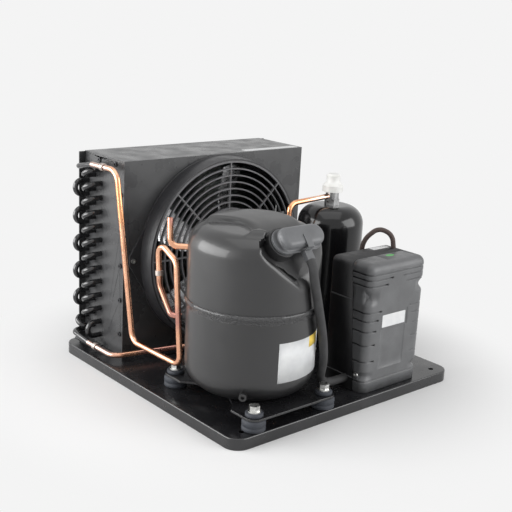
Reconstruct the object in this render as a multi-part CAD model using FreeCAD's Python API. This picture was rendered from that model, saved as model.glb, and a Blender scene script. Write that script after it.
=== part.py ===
import FreeCAD, Part
import math
import os

# Refrigeration condensing unit: hermetic piston compressor, finned condenser with an axial fan,
# liquid receiver and control box on one pressed steel base.
# Millimetres. Origin: centre of the base's underside. +X along the control box edge of the base,
# +Y towards the condenser, +Z up.

# Base plate
base_width = 500.0
base_height = 19.0
base_sheet = 2.0
base_corner = 25.0
base_hole_inset_x = 30.0
base_hole_inset_y = 21.0
base_hole_radius = 4.5
mount_inset = 50.0

# Compressor place and shell
shell_x = -127.5
shell_y = -132.0
shell_room = 14.0
shell_wall = 3.0
shell_seam_z = 185.0
shell_top_z = 312.0
shell_bottom_bend = 42.0
shell_top_bend = 30.0
weld_height = 8.0
weld_proud = 3.0
facet_tilt = 40.0
facet_drop = 80.0
facet_left = 56.0
plateau_height = 10.0
lobe_radius = 56.0
lobe_x = -74.0
lobe_y = -18.0
boss_radius = 6.0
boss_length = 5.0

# Compressor feet, rubber mounts and bolts
foot_pitch_x = 145.0
foot_pitch_y = 200.0
foot_thickness = 3.5
foot_overhang = 17.0
rubber_radius = 18.5
rubber_height = 19.0
rubber_neck_radius = 11.0
rubber_head_radius = 14.0
rubber_head_height = 6.0
sleeve_radius = 7.0
sleeve_bore = 5.3
bolt_radius = 5.0
bolt_flange_radius = 10.5
bolt_flange_height = 2.5
bolt_hex = 15.0
bolt_head_height = 8.0
nut_height = 8.0

# Compressor pump and motor inside the shell
bore_radius = 14.0
crank_throw = 6.0
crank_shaft_radius = 9.0
crank_pin_radius = 5.5
crank_pin_height = 15.0
crank_web_height = 9.0
bearing_length = 28.0
running_gap = 0.05
block_width = 92.0
block_thickness = 16.0
cylinder_width = 40.0
cylinder_length = 38.0
cylinder_start = 32.0
head_thickness = 14.0
valve_plate_thickness = 4.0
piston_length = 22.0
piston_pin_radius = 4.0
rod_thickness = 8.0
rod_length = 46.0
rod_rim = 3.5
rod_eye_radius = 7.6
stack_height = 50.0
stack_radius = 64.0
rotor_radius = 32.0
air_gap = 0.5
slot_radius = 36.0
winding_height = 16.0
winding_radius = 50.0
spring_radius = 5.5
spring_wire = 2.0
spring_height = 26.0
spring_place = 40.7

# Compressor electrical terminals and their cover; along and up the slope of their facet
terminal_x = -14.5
terminal_up = 66.5
terminal_radius = 17.0
terminal_thickness = 4.0
terminal_pin_radius = 1.6
terminal_pin_length = 14.0
terminal_pin_circle = 8.5
terminal_rise = 8.0
fence_depth = 20.0
fence_wall = 6.0
fence_skirt = 3.0
fence_tab = 6.0
collar_radius = 24.0
cover_depth = 20.0
cover_round = 6.0
cover_side_radius = 20.5
cover_reach = 54.0
cover_wall = 2.0
overload_radius = 14.0
overload_depth = 14.0
clip_along = 25.5
clip_width = 12.0
clip_thickness = 1.5
latch_size = 15.0
latch_depth = 9.0
cable_radius = 7.0

# Copper pipes
pipe_radius = 4.8
pipe_wall = 0.8
braze_gap = 0.1
stub_radius = 6.2
stub_length = 13.0
joint_radius = 6.6
joint_length = 9.0
discharge_z = 145.0
discharge_angle = 133.0
suction_z = 262.0
suction_angle = 136.0
suction_reach = 28.0

# Condenser
coil_left = -206.0
coil_right = 202.0
shroud_front = 121.0
shroud_back = 250.0
shroud_height = 349.0
shroud_sheet = 1.2
end_plate_sheet = 1.5
end_plate_flange = 12.0
cowl_screw_z = 59.0
cowl_screw_pitch = 62.5
cowl_screw_inset = 8.5
row_pitch = 22.0
tube_pitch = 25.4
tube_radius = 4.76
tube_wall = 0.5
tube_hole_gap = 0.1
first_row_y = 240.0
first_tube_z = 38.0
level_count = 13
bend_reach = 9.0
fin_count = 30
fin_thickness = 0.6
fin_margin = 10.0
top_tube_drop = 12.7

# Fan
fan_x = -1.0
fan_z = 193.5
fan_opening = 162.0
ring_radius = 173.0
ring_lip_radius = 167.0
ring_depth = 33.0
ring_wall = 3.0
ring_flange = 1.0
guard_depth = 5.0
guard_bar = 2.6
guard_pitch = 12.2
guard_rings = 8
guard_spokes = 8
motor_plate_radius = 58.0
motor_radius = 42.0
motor_length = 46.0
fan_shaft_radius = 4.0
fan_rotor_radius = 20.0
fan_rotor_length = 24.0
fan_hub_radius = 44.0
fan_hub_length = 26.0
hub_wall = 4.0
fan_tip_radius = 155.0
blade_count = 5
blade_thickness = 2.2
lug_out = 14.0
lug_tip = 7.0
lug_half_height = 80.0
lug_thickness = 5.0

# Receiver and its valve
receiver_x = 151.0
receiver_y = -20.0
receiver_radius = 60.0
receiver_bottom_z = 27.0
receiver_top_z = 287.0
receiver_bend = 34.0
receiver_wall = 2.5
receiver_foot_radius = 44.0
receiver_foot_sheet = 3.0
valve_hex = 24.0
valve_hex_height = 11.0
valve_body_radius = 12.0
valve_body_height = 13.0
valve_bore = 5.0
valve_neck_radius = 8.5
valve_neck_height = 16.0
spindle_radius = 4.94
spindle_square = 6.0
cap_radius = 19.0
cap_skirt_height = 14.0
cap_crown_radius = 12.5
cap_height = 32.0
cap_wall = 2.0
dip_radius = 4.5

# Control box
box_left = 30.0
box_right = 168.0
box_front = -237.0
box_back = -143.0
box_top = 240.0
box_wall = 2.5
cover_run = 42.0
cover_low_run = 20.0
cover_overlap = 6.0
cover_top_round = 5.0
back_inset = 3.0
box_corner = 14.0
box_screw_z = 50.0
start_cap_radius = 17.0
start_cap_length = 85.0
run_cap_radius = 16.0
run_cap_length = 70.0
relay_width = 34.0
relay_depth = 28.0
relay_height = 44.0
strip_count = 6
strip_pitch = 10.0
strip_depth = 14.0
jumper_radius = 4.2

# Fasteners
screw_radius = 2.0
screw_head_radius = 4.2
screw_head_height = 2.6
base_screw_length = 8.0
seat_gap = 0.3

UP = FreeCAD.Vector(0, 0, 1)
AWAY = FreeCAD.Vector(0, 1, 0)
RIGHT = FreeCAD.Vector(1, 0, 0)
base_inner = base_height - base_sheet
base_length = foot_pitch_x + 2 * (mount_inset - shell_x)
pump_reach = cylinder_start + cylinder_length + valve_plate_thickness + head_thickness
shell_radius = pump_reach + shell_room + shell_wall
lug_hole_reach = ring_radius + ring_flange + lug_out
lug_reach = lug_hole_reach + lug_tip


def at(x, y, z):
    return FreeCAD.Vector(x, y, z)


def save(name, *solids):
    """Write one node: a single solid, or a group of separate ones."""
    shape = solids[0] if len(solids) == 1 else Part.makeCompound(list(solids))
    shape.exportStep("parts/" + name + ".step")
    print(name, len(solids), "solids,", "valid" if shape.isValid() else "NOT VALID")


def block(x0, x1, y0, y1, z0, z1):
    return Part.makeBox(x1 - x0, y1 - y0, z1 - z0, at(x0, y0, z0))


def rod(radius, length, place, direction=UP):
    return Part.makeCylinder(radius, length, place, direction)


def sleeve(outer, inner, length, place, direction=UP):
    return rod(outer, length, place, direction).cut(rod(inner, length, place, direction))


def hexagon(across, height, place):
    corners = []
    for i in range(7):
        turn = math.radians(60 * i)
        reach = across / 2 / math.cos(math.radians(30))
        corners.append(place + at(reach * math.cos(turn), reach * math.sin(turn), 0))
    return Part.Face(Part.makePolygon(corners)).extrude(at(0, 0, height))


def upright_edges(solid):
    """Edges that run along Z."""
    found = []
    for edge in solid.Edges:
        ends = [v.Point for v in edge.Vertexes]
        if len(ends) == 2 and (ends[0] - ends[1]).Length > 1:
            if abs((ends[1] - ends[0]).normalize().z) > 0.99:
                found.append(edge)
    return found


def turned(edges, place, direction=UP):
    """A solid of revolution from the edges of a closed profile."""
    face = Part.Face(Part.Wire(edges))
    return face.revolve(place, direction, 360)


def line(a, b):
    return Part.LineSegment(a, b).toShape()


def corner_arc(centre, start, end, radius):
    """A quarter arc from start to end round a centre."""
    middle = (start + end) * 0.5 - centre
    return Part.Arc(start, centre + middle.normalize() * radius, end).toShape()


def route(points, radii):
    """Straight runs joined by tangent arcs, one radius for each inner point."""
    edges = []
    start = points[0]
    for i in range(1, len(points) - 1):
        back = (points[i - 1] - points[i]).normalize()
        ahead = (points[i + 1] - points[i]).normalize()
        half = math.pi / 2 - math.acos(max(-1, min(1, back.dot(ahead)))) / 2
        trim = radii[i - 1] * math.tan(half)
        arc_start = points[i] + back * trim
        arc_end = points[i] + ahead * trim
        inward = (back + ahead).normalize()
        top = points[i] + inward * (radii[i - 1] / math.cos(half) - radii[i - 1])
        if (arc_start - start).Length > 1e-6:
            edges.append(line(start, arc_start))
        edges.append(Part.Arc(arc_start, top, arc_end).toShape())
        start = arc_end
    edges.append(line(start, points[-1]))
    return Part.Wire(edges)


def swept(points, radii, radius):
    path = route(points, radii)
    circle = Part.makeCircle(radius, points[0], points[1] - points[0])
    return path.makePipe(Part.Face(Part.Wire(circle)))


def pipe(points, radii, radius, wall):
    """A hollow bent tube."""
    return swept(points, radii, radius).cut(swept(points, radii, radius - wall))


def soft_radii(points):
    """Arc radii of a lead: 0.45 of the shorter run over the tangent of half the turn."""
    radii = []
    for i in range(1, len(points) - 1):
        before = points[i] - points[i - 1]
        after = points[i + 1] - points[i]
        turn = before.getAngle(after)
        radii.append(0.45 * min(before.Length, after.Length) / math.tan(turn / 2))
    return radii


def screw(place, direction, length):
    """A pan head screw; place is where the head meets the sheet, direction points out."""
    head = rod(screw_head_radius, screw_head_height, place, direction)
    middle = place + direction * (screw_head_height / 2)
    drive = rod(screw_head_radius / 2, screw_head_height, middle, direction)
    shank = rod(screw_radius, length, place - direction * length, direction)
    return head.cut(drive).fuse(shank).removeSplitter()


def screw_hole(place, direction, length):
    """Clearance for a screw of the same place, direction and length."""
    return rod(screw_radius + running_gap, length + 1, place - direction * length, direction)


# Levels of the compressor's mounts, from the base up
base_top = base_height
foot_z = base_top + rubber_height
shell_bottom_z = foot_z + foot_thickness
rubber_top_z = shell_bottom_z + rubber_head_height
mounts = []
for side_x in (-1, 1):
    for side_y in (-1, 1):
        mounts.append(at(shell_x + side_x * foot_pitch_x / 2, shell_y + side_y * foot_pitch_y / 2, 0))

# Places of the screws that hold the receiver and the control box to the base
receiver_screws = []
for turn in (90, 210, 330):
    reach = receiver_foot_radius + 7
    receiver_screws.append(at(receiver_x + reach * math.cos(math.radians(turn)),
                              receiver_y + reach * math.sin(math.radians(turn)),
                              base_top + receiver_foot_sheet))
box_floor_z = base_top + box_wall
box_screws = [at(x, box_back - 27, box_floor_z) for x in (box_left + 12, box_right - 12)]
coil_foot_z = base_top + end_plate_sheet
coil_screws = []
for x in (coil_left - end_plate_flange, coil_right + end_plate_flange):
    for y in (shroud_back - 55, shroud_back - 12):
        coil_screws.append(at(x, y, coil_foot_z))


def base_plate():
    """Pressed pan: flat top, down-turned rim, rounded corners, holes for every fastening."""
    x, y = base_length / 2, base_width / 2
    outer = block(-x, x, -y, y, 0, base_height)
    outer = outer.makeFillet(base_corner, upright_edges(outer))
    top = [e for e in outer.Edges if all(abs(v.Z - base_height) < 1e-6 for v in e.Vertexes)]
    outer = outer.makeFillet(base_sheet, top)
    inner = block(-x + base_sheet, x - base_sheet, -y + base_sheet, y - base_sheet, 0, base_inner)
    inner = inner.makeFillet(base_corner - base_sheet, upright_edges(inner))
    plate = outer.cut(inner)
    for side_x in (-1, 1):
        for side_y in (-1, 1):
            place = at(side_x * (x - base_hole_inset_x), side_y * (y - base_hole_inset_y), 0)
            plate = plate.cut(rod(base_hole_radius, base_height, place))
    for place in mounts:
        plate = plate.cut(rod(sleeve_bore, base_height, place))
    for place in receiver_screws + box_screws + coil_screws:
        plate = plate.cut(screw_hole(place, UP, base_screw_length))
    return plate


def foot_plate():
    """Flat steel foot under the shell, waisted at the sides, on the four rubber mounts."""
    x, y = foot_pitch_x / 2 + foot_overhang, foot_pitch_y / 2 + foot_overhang
    plate = block(shell_x - x, shell_x + x, shell_y - y, shell_y + y, foot_z, shell_bottom_z)
    plate = plate.makeFillet(foot_overhang - 1, upright_edges(plate))
    waist = foot_pitch_y / 2 - foot_overhang
    for side in (-1, 1):
        place = at(shell_x + side * (x + waist * 0.62), shell_y, foot_z)
        plate = plate.cut(rod(waist, foot_thickness, place))
    for place in mounts:
        plate = plate.cut(rod(rubber_neck_radius, foot_thickness, place + UP * foot_z))
    return plate


def rubber_mount(place):
    foot = rod(rubber_radius, rubber_height, place + UP * base_top)
    neck = rod(rubber_neck_radius, foot_thickness, place + UP * foot_z)
    head = rod(rubber_head_radius, rubber_head_height, place + UP * shell_bottom_z)
    rubber = foot.fuse(neck).fuse(head).removeSplitter()
    return rubber.cut(rod(sleeve_radius, rubber_top_z, place))


def mount_sleeve(place):
    return sleeve(sleeve_radius, sleeve_bore, rubber_top_z - base_top, place + UP * base_top)


def mount_bolt(place):
    """Flanged hex bolt down through the sleeve and the base."""
    flange = rod(bolt_flange_radius, bolt_flange_height, place + UP * rubber_top_z)
    head = hexagon(bolt_hex, bolt_head_height, place + UP * (rubber_top_z + bolt_flange_height))
    reach = rubber_top_z - base_inner + nut_height + base_sheet
    shank = rod(bolt_radius, reach, place + UP * (rubber_top_z - reach))
    return flange.fuse(head).fuse(shank).removeSplitter()


def mount_nut(place):
    nut = hexagon(bolt_hex, nut_height, place + UP * (base_inner - nut_height))
    return nut.cut(rod(bolt_radius + running_gap, base_inner, place))


# The flat facet on the shell's shoulder, which carries the electrical terminals:
# its own frame has X along the facet's width, Y up the slope and Z out of it
facet_turn = FreeCAD.Rotation(RIGHT, 90 - facet_tilt)
facet_origin = at(shell_x, shell_y - shell_radius, shell_top_z - facet_drop)
facet_frame = FreeCAD.Placement(facet_origin, facet_turn)
facet_reach = 2 * shell_radius


def on_facet(solid):
    moved = solid.copy()
    moved.Placement = facet_frame.multiply(moved.Placement)
    return moved


def facet_point(x, up, out):
    return facet_frame.multVec(at(x, up, out))


def facet_tool(depth):
    """The space beyond the facet, sunk by the given depth; its left edge is rounded."""
    tool = block(-facet_left + depth, facet_reach, -facet_reach, facet_reach, -depth, facet_reach)
    low_left = []
    for edge in tool.Edges:
        ends = [v.Point for v in edge.Vertexes]
        if all(abs(p.x + facet_left - depth) < 1e-6 and abs(p.z + depth) < 1e-6 for p in ends):
            low_left.append(edge)
    return on_facet(tool.makeFillet(facet_left / 4, low_left))


def lower_form(radius, bottom, bend, top):
    """Solid of the shell's lower half: flat bottom, rolled bend, straight wall."""
    axis = at(shell_x, shell_y, 0)
    a = axis + UP * bottom
    b = a + RIGHT * (radius - bend)
    c = axis + at(radius, 0, bottom + bend)
    d = axis + at(radius, 0, top)
    e = axis + UP * top
    centre = b + UP * bend
    edges = [line(a, b), corner_arc(centre, b, c, bend), line(c, d), line(d, e), line(e, a)]
    return turned(edges, axis)


def upper_form(radius, bottom, bend, top, flat):
    """Solid of the shell's upper half, with the plateau on its crown."""
    axis = at(shell_x, shell_y, 0)
    a = axis + UP * bottom
    b = axis + at(radius, 0, bottom)
    c = axis + at(radius, 0, top - plateau_height - bend)
    d = axis + at(radius - bend, 0, top - plateau_height)
    e = axis + at(flat, 0, top)
    f = axis + UP * top
    centre = c - RIGHT * bend
    edges = [line(a, b), line(b, c), corner_arc(centre, c, d, bend), line(d, e), line(e, f), line(f, a)]
    return turned(edges, axis)


def shell_side(turn, level, reach):
    """A point beside the shell at an angle round its axis and a height."""
    spin = math.radians(turn)
    return at(shell_x + reach * math.cos(spin), shell_y + reach * math.sin(spin), level)


def outward(turn):
    return at(math.cos(math.radians(turn)), math.sin(math.radians(turn)), 0)


def lower_shell():
    cup = lower_form(shell_radius, shell_bottom_z, shell_bottom_bend, shell_seam_z)
    boss_z = shell_bottom_z + shell_bottom_bend / 2
    boss_from = shell_radius - shell_bottom_bend / 3
    boss_place = shell_side(225, boss_z, boss_from)
    cup = cup.fuse(rod(boss_radius, shell_bottom_bend / 3 + boss_length, boss_place, outward(225)))
    cavity = lower_form(shell_radius - shell_wall, shell_bottom_z + shell_wall,
                        shell_bottom_bend - shell_wall, shell_seam_z)
    cup = cup.cut(cavity).removeSplitter()
    hole = shell_side(225, boss_z, shell_radius)
    cup = cup.cut(rod(boss_radius / 2, boss_length + shell_wall, hole, outward(225)))
    through = shell_side(discharge_angle, discharge_z, shell_radius - 2 * shell_wall)
    return cup.cut(rod(stub_radius + running_gap, 4 * shell_wall, through, outward(discharge_angle)))


def lobe_room(radius, level):
    """Room over the front lobe, where the crown has no plateau."""
    return rod(radius, 2 * plateau_height, at(shell_x + lobe_x, shell_y + lobe_y, level))


def upper_shell():
    flat = shell_radius - shell_top_bend - plateau_height
    dome = upper_form(shell_radius, shell_seam_z, shell_top_bend, shell_top_z, flat)
    shoulder_z = shell_top_z - plateau_height
    dome = dome.cut(facet_tool(0)).cut(lobe_room(lobe_radius, shoulder_z))
    cavity = upper_form(shell_radius - shell_wall, shell_seam_z, shell_top_bend - shell_wall,
                        shell_top_z - shell_wall, flat)
    cavity = cavity.cut(facet_tool(shell_wall))
    cavity = cavity.cut(lobe_room(lobe_radius + shell_wall, shoulder_z - shell_wall))
    dome = dome.cut(cavity)
    seat = on_facet(rod(terminal_radius, 4 * shell_wall, at(terminal_x, terminal_up, -2 * shell_wall)))
    through = shell_side(suction_angle, suction_z, shell_radius - shell_top_bend)
    hole = rod(pipe_radius + running_gap, shell_top_bend, through, outward(suction_angle))
    return dome.cut(seat).cut(hole)


def weld_band():
    """Rounded bead over the seam of the two shell halves."""
    axis = at(shell_x, shell_y, 0)
    low = axis + at(shell_radius, 0, shell_seam_z - weld_height / 2)
    high = axis + at(shell_radius, 0, shell_seam_z + weld_height / 2)
    bulge = axis + at(shell_radius + weld_proud, 0, shell_seam_z)
    return turned([line(high, low), Part.Arc(low, bulge, high).toShape()], axis)


def stadium(radius, x0, x1, low, high):
    """A flat-sided round-ended column, in the facet's frame."""
    middle = block(x0, x1, terminal_up - radius, terminal_up + radius, low, high)
    left = rod(radius, high - low, at(x0, terminal_up, low))
    right = rod(radius, high - low, at(x1, terminal_up, low))
    return middle.fuse(left).fuse(right).removeSplitter()


def hermetic_terminal():
    """Steel disc welded in the shell, with three pins in glass."""
    centre = at(terminal_x, terminal_up, 1 - terminal_thickness)
    disc = rod(terminal_radius - running_gap, terminal_thickness, centre)
    pins = []
    for turn in (90, 210, 330):
        x = terminal_x + terminal_pin_circle * math.cos(math.radians(turn))
        up = terminal_up + terminal_pin_circle * math.sin(math.radians(turn))
        place = at(x, up, -terminal_pin_length / 2)
        disc = disc.cut(rod(terminal_pin_radius, terminal_pin_length, place))
        pins.append(on_facet(rod(terminal_pin_radius, terminal_pin_length, place)))
    return [on_facet(disc)] + pins


def terminal_fence():
    """Black plastic collar that stands on the facet round the terminals, with two tabs."""
    centre = at(terminal_x, terminal_up, 0)
    fence = rod(collar_radius + fence_skirt, fence_skirt, centre)
    fence = fence.fuse(rod(collar_radius, fence_depth, centre))
    fence = fence.cut(rod(collar_radius - fence_wall, fence_depth, centre))
    for turn in (75, 155):
        spin = math.radians(turn)
        x = terminal_x + collar_radius * math.cos(spin)
        up = terminal_up + collar_radius * math.sin(spin)
        tab = block(x - fence_tab / 2, x + fence_tab / 2, up, up + fence_tab / 2, 0, fence_depth * 0.6)
        fence = fence.fuse(tab)
    return on_facet(fence.removeSplitter())


cover_end_x = terminal_x + cover_reach
cover_top = fence_depth + cover_depth


def rim_edges(solid, level):
    """Edges that lie at one height."""
    return [e for e in solid.Edges if all(abs(v.Z - level) < 1e-6 for v in e.Vertexes)]


def terminal_cover():
    """Grey plastic cap over the collar, running on past it to the lead's exit."""
    outer = stadium(cover_side_radius, terminal_x, cover_end_x, fence_depth, cover_top)
    outer = outer.makeFillet(cover_round, rim_edges(outer, cover_top))
    inner_top = cover_top - cover_wall
    inner_radius = cover_side_radius - cover_wall
    inner = stadium(inner_radius, terminal_x, cover_end_x, fence_depth, inner_top)
    inner = inner.makeFillet(cover_round - cover_wall, rim_edges(inner, inner_top))
    floor = stadium(inner_radius, terminal_x, cover_end_x, fence_depth, fence_depth + cover_wall)
    floor = floor.cut(rod(collar_radius - fence_wall, cover_depth, at(terminal_x, terminal_up, fence_depth)))
    return on_facet(outer.cut(inner.cut(floor)))


def overload_protector():
    place = at(terminal_x, terminal_up, terminal_pin_length / 2)
    return on_facet(rod(overload_radius, overload_depth, place))


clip_x = terminal_x + clip_along
clip_low = terminal_up - cover_side_radius - clip_thickness


def cover_clip():
    """Strap over the cover, hooked at the lead's latch."""
    strap = block(clip_x, clip_x + clip_width, clip_low, terminal_up, cover_top, cover_top + clip_thickness)
    down = block(clip_x, clip_x + clip_width, clip_low, clip_low + clip_thickness, fence_depth, cover_top)
    return on_facet(strap.fuse(down).removeSplitter())


def lead_latch():
    """Small block that grips the lead under the cover."""
    return on_facet(block(clip_x, clip_x + latch_size, clip_low - latch_size, clip_low,
                          fence_depth, fence_depth + latch_depth))


# The lead from the terminal cover to the control box: chosen points along its real way
lead_start = (clip_x + latch_size / 2, clip_low - latch_size, fence_depth + latch_depth / 2)
lead_points = [
    facet_point(*lead_start),
    facet_point(lead_start[0], lead_start[1] - 12, lead_start[2]),
    at(-104.5, -243, 243),
    at(-95, -242, 214),
    at(-81.5, -238.5, 177),
    at(-65, -232, 138),
    at(-48, -221, 94),
    at(-41.5, -209, 58),
    at(-24, -202, 42),
    at(-2, -198, 37),
    at(20, -197, 36),
    at(box_left + back_inset + 3 * box_wall, -196, 37),
]


def suction_stub():
    """Open copper stub: out of the shell's side, then up."""
    start = shell_side(suction_angle, suction_z, shell_radius - shell_top_bend / 3)
    elbow = shell_side(suction_angle, suction_z, shell_radius + suction_reach)
    points = [start, elbow, elbow + at(3, 6, 44)]
    return pipe(points, [13], pipe_radius, pipe_wall)


def discharge_stub():
    """Steel stub brazed in the shell, painted with it."""
    start = shell_side(discharge_angle, discharge_z, shell_radius - 2 * shell_wall)
    return sleeve(stub_radius, pipe_radius + braze_gap, stub_length, start, outward(discharge_angle))


# Levels inside the compressor, from the shell's floor up
floor_z = shell_bottom_z + shell_wall
stack_z = floor_z + spring_height
stack_top_z = stack_z + stack_height
deck_z = stack_top_z + 30
deck_top_z = deck_z + block_thickness
web_z = deck_top_z + seat_gap
pin_z = web_z + crank_web_height
pump_axis_z = pin_z + crank_pin_height / 2
shell_axis = at(shell_x, shell_y, 0)
corners = [at(x, y, 0) for x in (-spring_place, spring_place) for y in (-spring_place, spring_place)]
piston_travel = 2 * crank_throw
wrist_y = shell_y - crank_throw + rod_length


def cylinder_block():
    """Iron deck on four legs over the motor, with the main bearing and the cylinder."""
    half = block_width / 2
    deck = block(shell_x - half, shell_x + half, shell_y - half, shell_y + half, deck_z, deck_top_z)
    bearing_place = shell_axis + UP * (deck_z - bearing_length)
    deck = deck.fuse(rod(crank_shaft_radius * 1.8, bearing_length, bearing_place))
    side = cylinder_width / 2
    bore_from = shell_y + cylinder_start
    deck = deck.fuse(block(shell_x - side, shell_x + side, bore_from, bore_from + cylinder_length,
                           deck_z, pump_axis_z + side))
    for corner in corners:
        deck = deck.fuse(rod(spring_radius, deck_z - stack_top_z, shell_axis + corner + UP * stack_top_z))
    deck = deck.cut(rod(crank_shaft_radius + running_gap, deck_top_z, shell_axis))
    bore = at(shell_x, bore_from, pump_axis_z)
    return deck.cut(rod(bore_radius + running_gap, cylinder_length, bore, AWAY)).removeSplitter()


def valve_plate():
    side = cylinder_width / 2
    y = shell_y + cylinder_start + cylinder_length
    plate = block(shell_x - side, shell_x + side, y, y + valve_plate_thickness,
                  pump_axis_z - side, pump_axis_z + side)
    for shift in (-6, 6):
        plate = plate.cut(rod(3, valve_plate_thickness, at(shell_x + shift, y, pump_axis_z), AWAY))
    return plate


def cylinder_head():
    """Cap with one chamber for suction and one for discharge."""
    side = cylinder_width / 2
    y = shell_y + cylinder_start + cylinder_length + valve_plate_thickness
    head = block(shell_x - side, shell_x + side, y, y + head_thickness,
                 pump_axis_z - side, pump_axis_z + side)
    for low, high in ((-side + 4, -1.5), (1.5, side - 4)):
        head = head.cut(block(shell_x + low, shell_x + high, y, y + head_thickness - 4,
                              pump_axis_z - side + 4, pump_axis_z + side - 4))
    return head


def stator_core():
    """Stack of laminations on the four springs."""
    place = shell_axis + UP * stack_z
    return sleeve(stack_radius, rotor_radius + air_gap, stack_height, place)


def stator_windings():
    """The windings' two end turns, below and above the stack."""
    low = sleeve(winding_radius, slot_radius, winding_height, shell_axis + UP * (stack_z - winding_height))
    high = sleeve(winding_radius, slot_radius, winding_height, shell_axis + UP * stack_top_z)
    return [low, high]


def suspension_springs():
    return [sleeve(spring_radius, spring_radius - spring_wire, spring_height, shell_axis + c + UP * floor_z)
            for c in corners]


def motor_rotor():
    place = shell_axis + UP * stack_z
    return sleeve(rotor_radius, crank_shaft_radius + running_gap, stack_height, place)


def crankshaft():
    """Shaft, web and crank pin; the pin rests at the bottom of the stroke."""
    shaft = rod(crank_shaft_radius, web_z - stack_z + spring_wire, shell_axis + UP * (stack_z - spring_wire))
    web = rod(crank_throw + 2 * crank_pin_radius, crank_web_height, shell_axis + UP * web_z)
    pin = rod(crank_pin_radius, crank_pin_height, shell_axis + at(0, -crank_throw, pin_z))
    return shaft.fuse(web).fuse(pin).removeSplitter()


def piston():
    """Trunk piston, open towards the crank."""
    y = wrist_y - piston_length / 3
    body = rod(bore_radius, piston_length, at(shell_x, y, pump_axis_z), AWAY)
    half = rod_thickness / 2 + seat_gap
    side = rod_eye_radius + 2 * seat_gap
    body = body.cut(block(shell_x - side, shell_x + side, y, wrist_y + side,
                          pump_axis_z - half, pump_axis_z + half))
    pin_place = at(shell_x, wrist_y, pump_axis_z - bore_radius)
    return body.cut(rod(piston_pin_radius + running_gap, 2 * bore_radius, pin_place))


def piston_pin():
    length = 2 * bore_radius * 0.8
    return rod(piston_pin_radius, length, at(shell_x, wrist_y, pump_axis_z - length / 2))


def connecting_rod():
    """Rod with its eye on the piston pin; the far end is a frame open round the crank pin's way."""
    low = pump_axis_z - rod_thickness / 2
    high = pump_axis_z + rod_thickness / 2
    eye = rod(rod_eye_radius, rod_thickness, at(shell_x, wrist_y, low))
    inner_x = crank_throw + crank_pin_radius + 2 * seat_gap
    inner_y = piston_travel + crank_pin_radius + 2 * seat_gap
    outer_x, outer_y = inner_x + rod_rim, inner_y + rod_rim
    y = shell_y - crank_throw
    frame = block(shell_x - outer_x, shell_x + outer_x, y - outer_y, y + outer_y, low, high)
    bar = block(shell_x - rod_rim, shell_x + rod_rim, y + inner_y, wrist_y, low, high)
    window = block(shell_x - inner_x, shell_x + inner_x, y - inner_y, y + inner_y, low, high)
    whole = frame.cut(window).fuse(bar).fuse(eye)
    return whole.cut(rod(piston_pin_radius + running_gap, 2 * high, at(shell_x, wrist_y, 0))).removeSplitter()


# Condenser tubes: three staggered rows, counted from the back; the path snakes from top to bottom
top_tube_z = first_tube_z + (level_count - 1) * tube_pitch
tube_from = coil_left - 3
tube_to = coil_right + 3


def tube_place(row, level):
    lift = tube_pitch / 2 if row == 1 else 0
    return (first_row_y - row * row_pitch, first_tube_z + level * tube_pitch + lift)


def snake():
    """The tubes in the order in which the refrigerant runs through them, from the top down."""
    order = [(0, level_count - 1)]
    back, front = level_count - 2, level_count - 1
    for level in range(level_count - 2, -1, -1):
        order.append((1, level))
        if (level_count - 2 - level) % 2 == 0:
            order += [(2, front), (2, front - 1)]
            front -= 2
        else:
            order += [(0, back), (0, back - 1)]
            back -= 2
    order.insert(order.index((1, 0)), (2, 0))
    return order


def u_bend(a, b, x, side, leg):
    """A half circle joining two tubes, with straight legs from x outwards."""
    middle = (at(x, *a) + at(x, *b)) * 0.5
    radius = (at(x, *a) - at(x, *b)).Length / 2
    tip_x = x + side * leg
    top = at(tip_x + side * radius, middle.y, middle.z)
    start, end = at(x, *a), at(x, *b)
    start_leg, end_leg = at(tip_x, *a), at(tip_x, *b)
    turn = Part.Arc(start_leg, top, end_leg).toShape()
    path = Part.Wire([line(start, start_leg), turn, line(end_leg, end)])
    direction = RIGHT * side
    outer = path.makePipe(Part.Face(Part.Wire(Part.makeCircle(tube_radius, start, direction))))
    inner = path.makePipe(Part.Face(Part.Wire(Part.makeCircle(tube_radius - tube_wall, start, direction))))
    return outer.cut(inner)


def coil_tubes():
    """Hairpins: each is two straight tubes and the bend that joins them past the right end plate."""
    hairpins = []
    order = snake()
    for i in range(0, len(order), 2):
        a, b = tube_place(*order[i]), tube_place(*order[i + 1])
        hairpins.append(u_bend(a, b, tube_from, 1, tube_to - tube_from + bend_reach))
    return hairpins


def return_bends():
    """The bends brazed on at the left end."""
    bends = []
    order = snake()
    for i in range(1, len(order) - 1, 2):
        bends.append(u_bend(tube_place(*order[i]), tube_place(*order[i + 1]), tube_from, -1, bend_reach))
    return bends


def all_tube_places():
    return [tube_place(*step) for step in snake()]


fin_front = first_row_y - 2 * row_pitch - fin_margin
fin_low = first_tube_z - top_tube_drop
fin_high = top_tube_z + top_tube_drop


def condenser_fins():
    """Thin aluminium sheets threaded on the tubes."""
    plate_left = coil_left + shroud_sheet + end_plate_sheet
    plate_right = coil_right - shroud_sheet - end_plate_sheet
    pitch = (plate_right - plate_left) / (fin_count + 1)
    first = block(0, fin_thickness, fin_front, shroud_back, fin_low, fin_high)
    for y, z in all_tube_places():
        first = first.cut(rod(tube_radius + tube_hole_gap, 1, at(-0.1, y, z), RIGHT))
    fins = []
    for i in range(fin_count):
        fin = first.copy()
        fin.translate(at(plate_left + pitch * (i + 1), 0, 0))
        fins.append(fin)
    return fins


end_plate_front = fin_front - 1
cowl_top = base_height + shroud_height
side_window_top = cowl_top - 16


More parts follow.
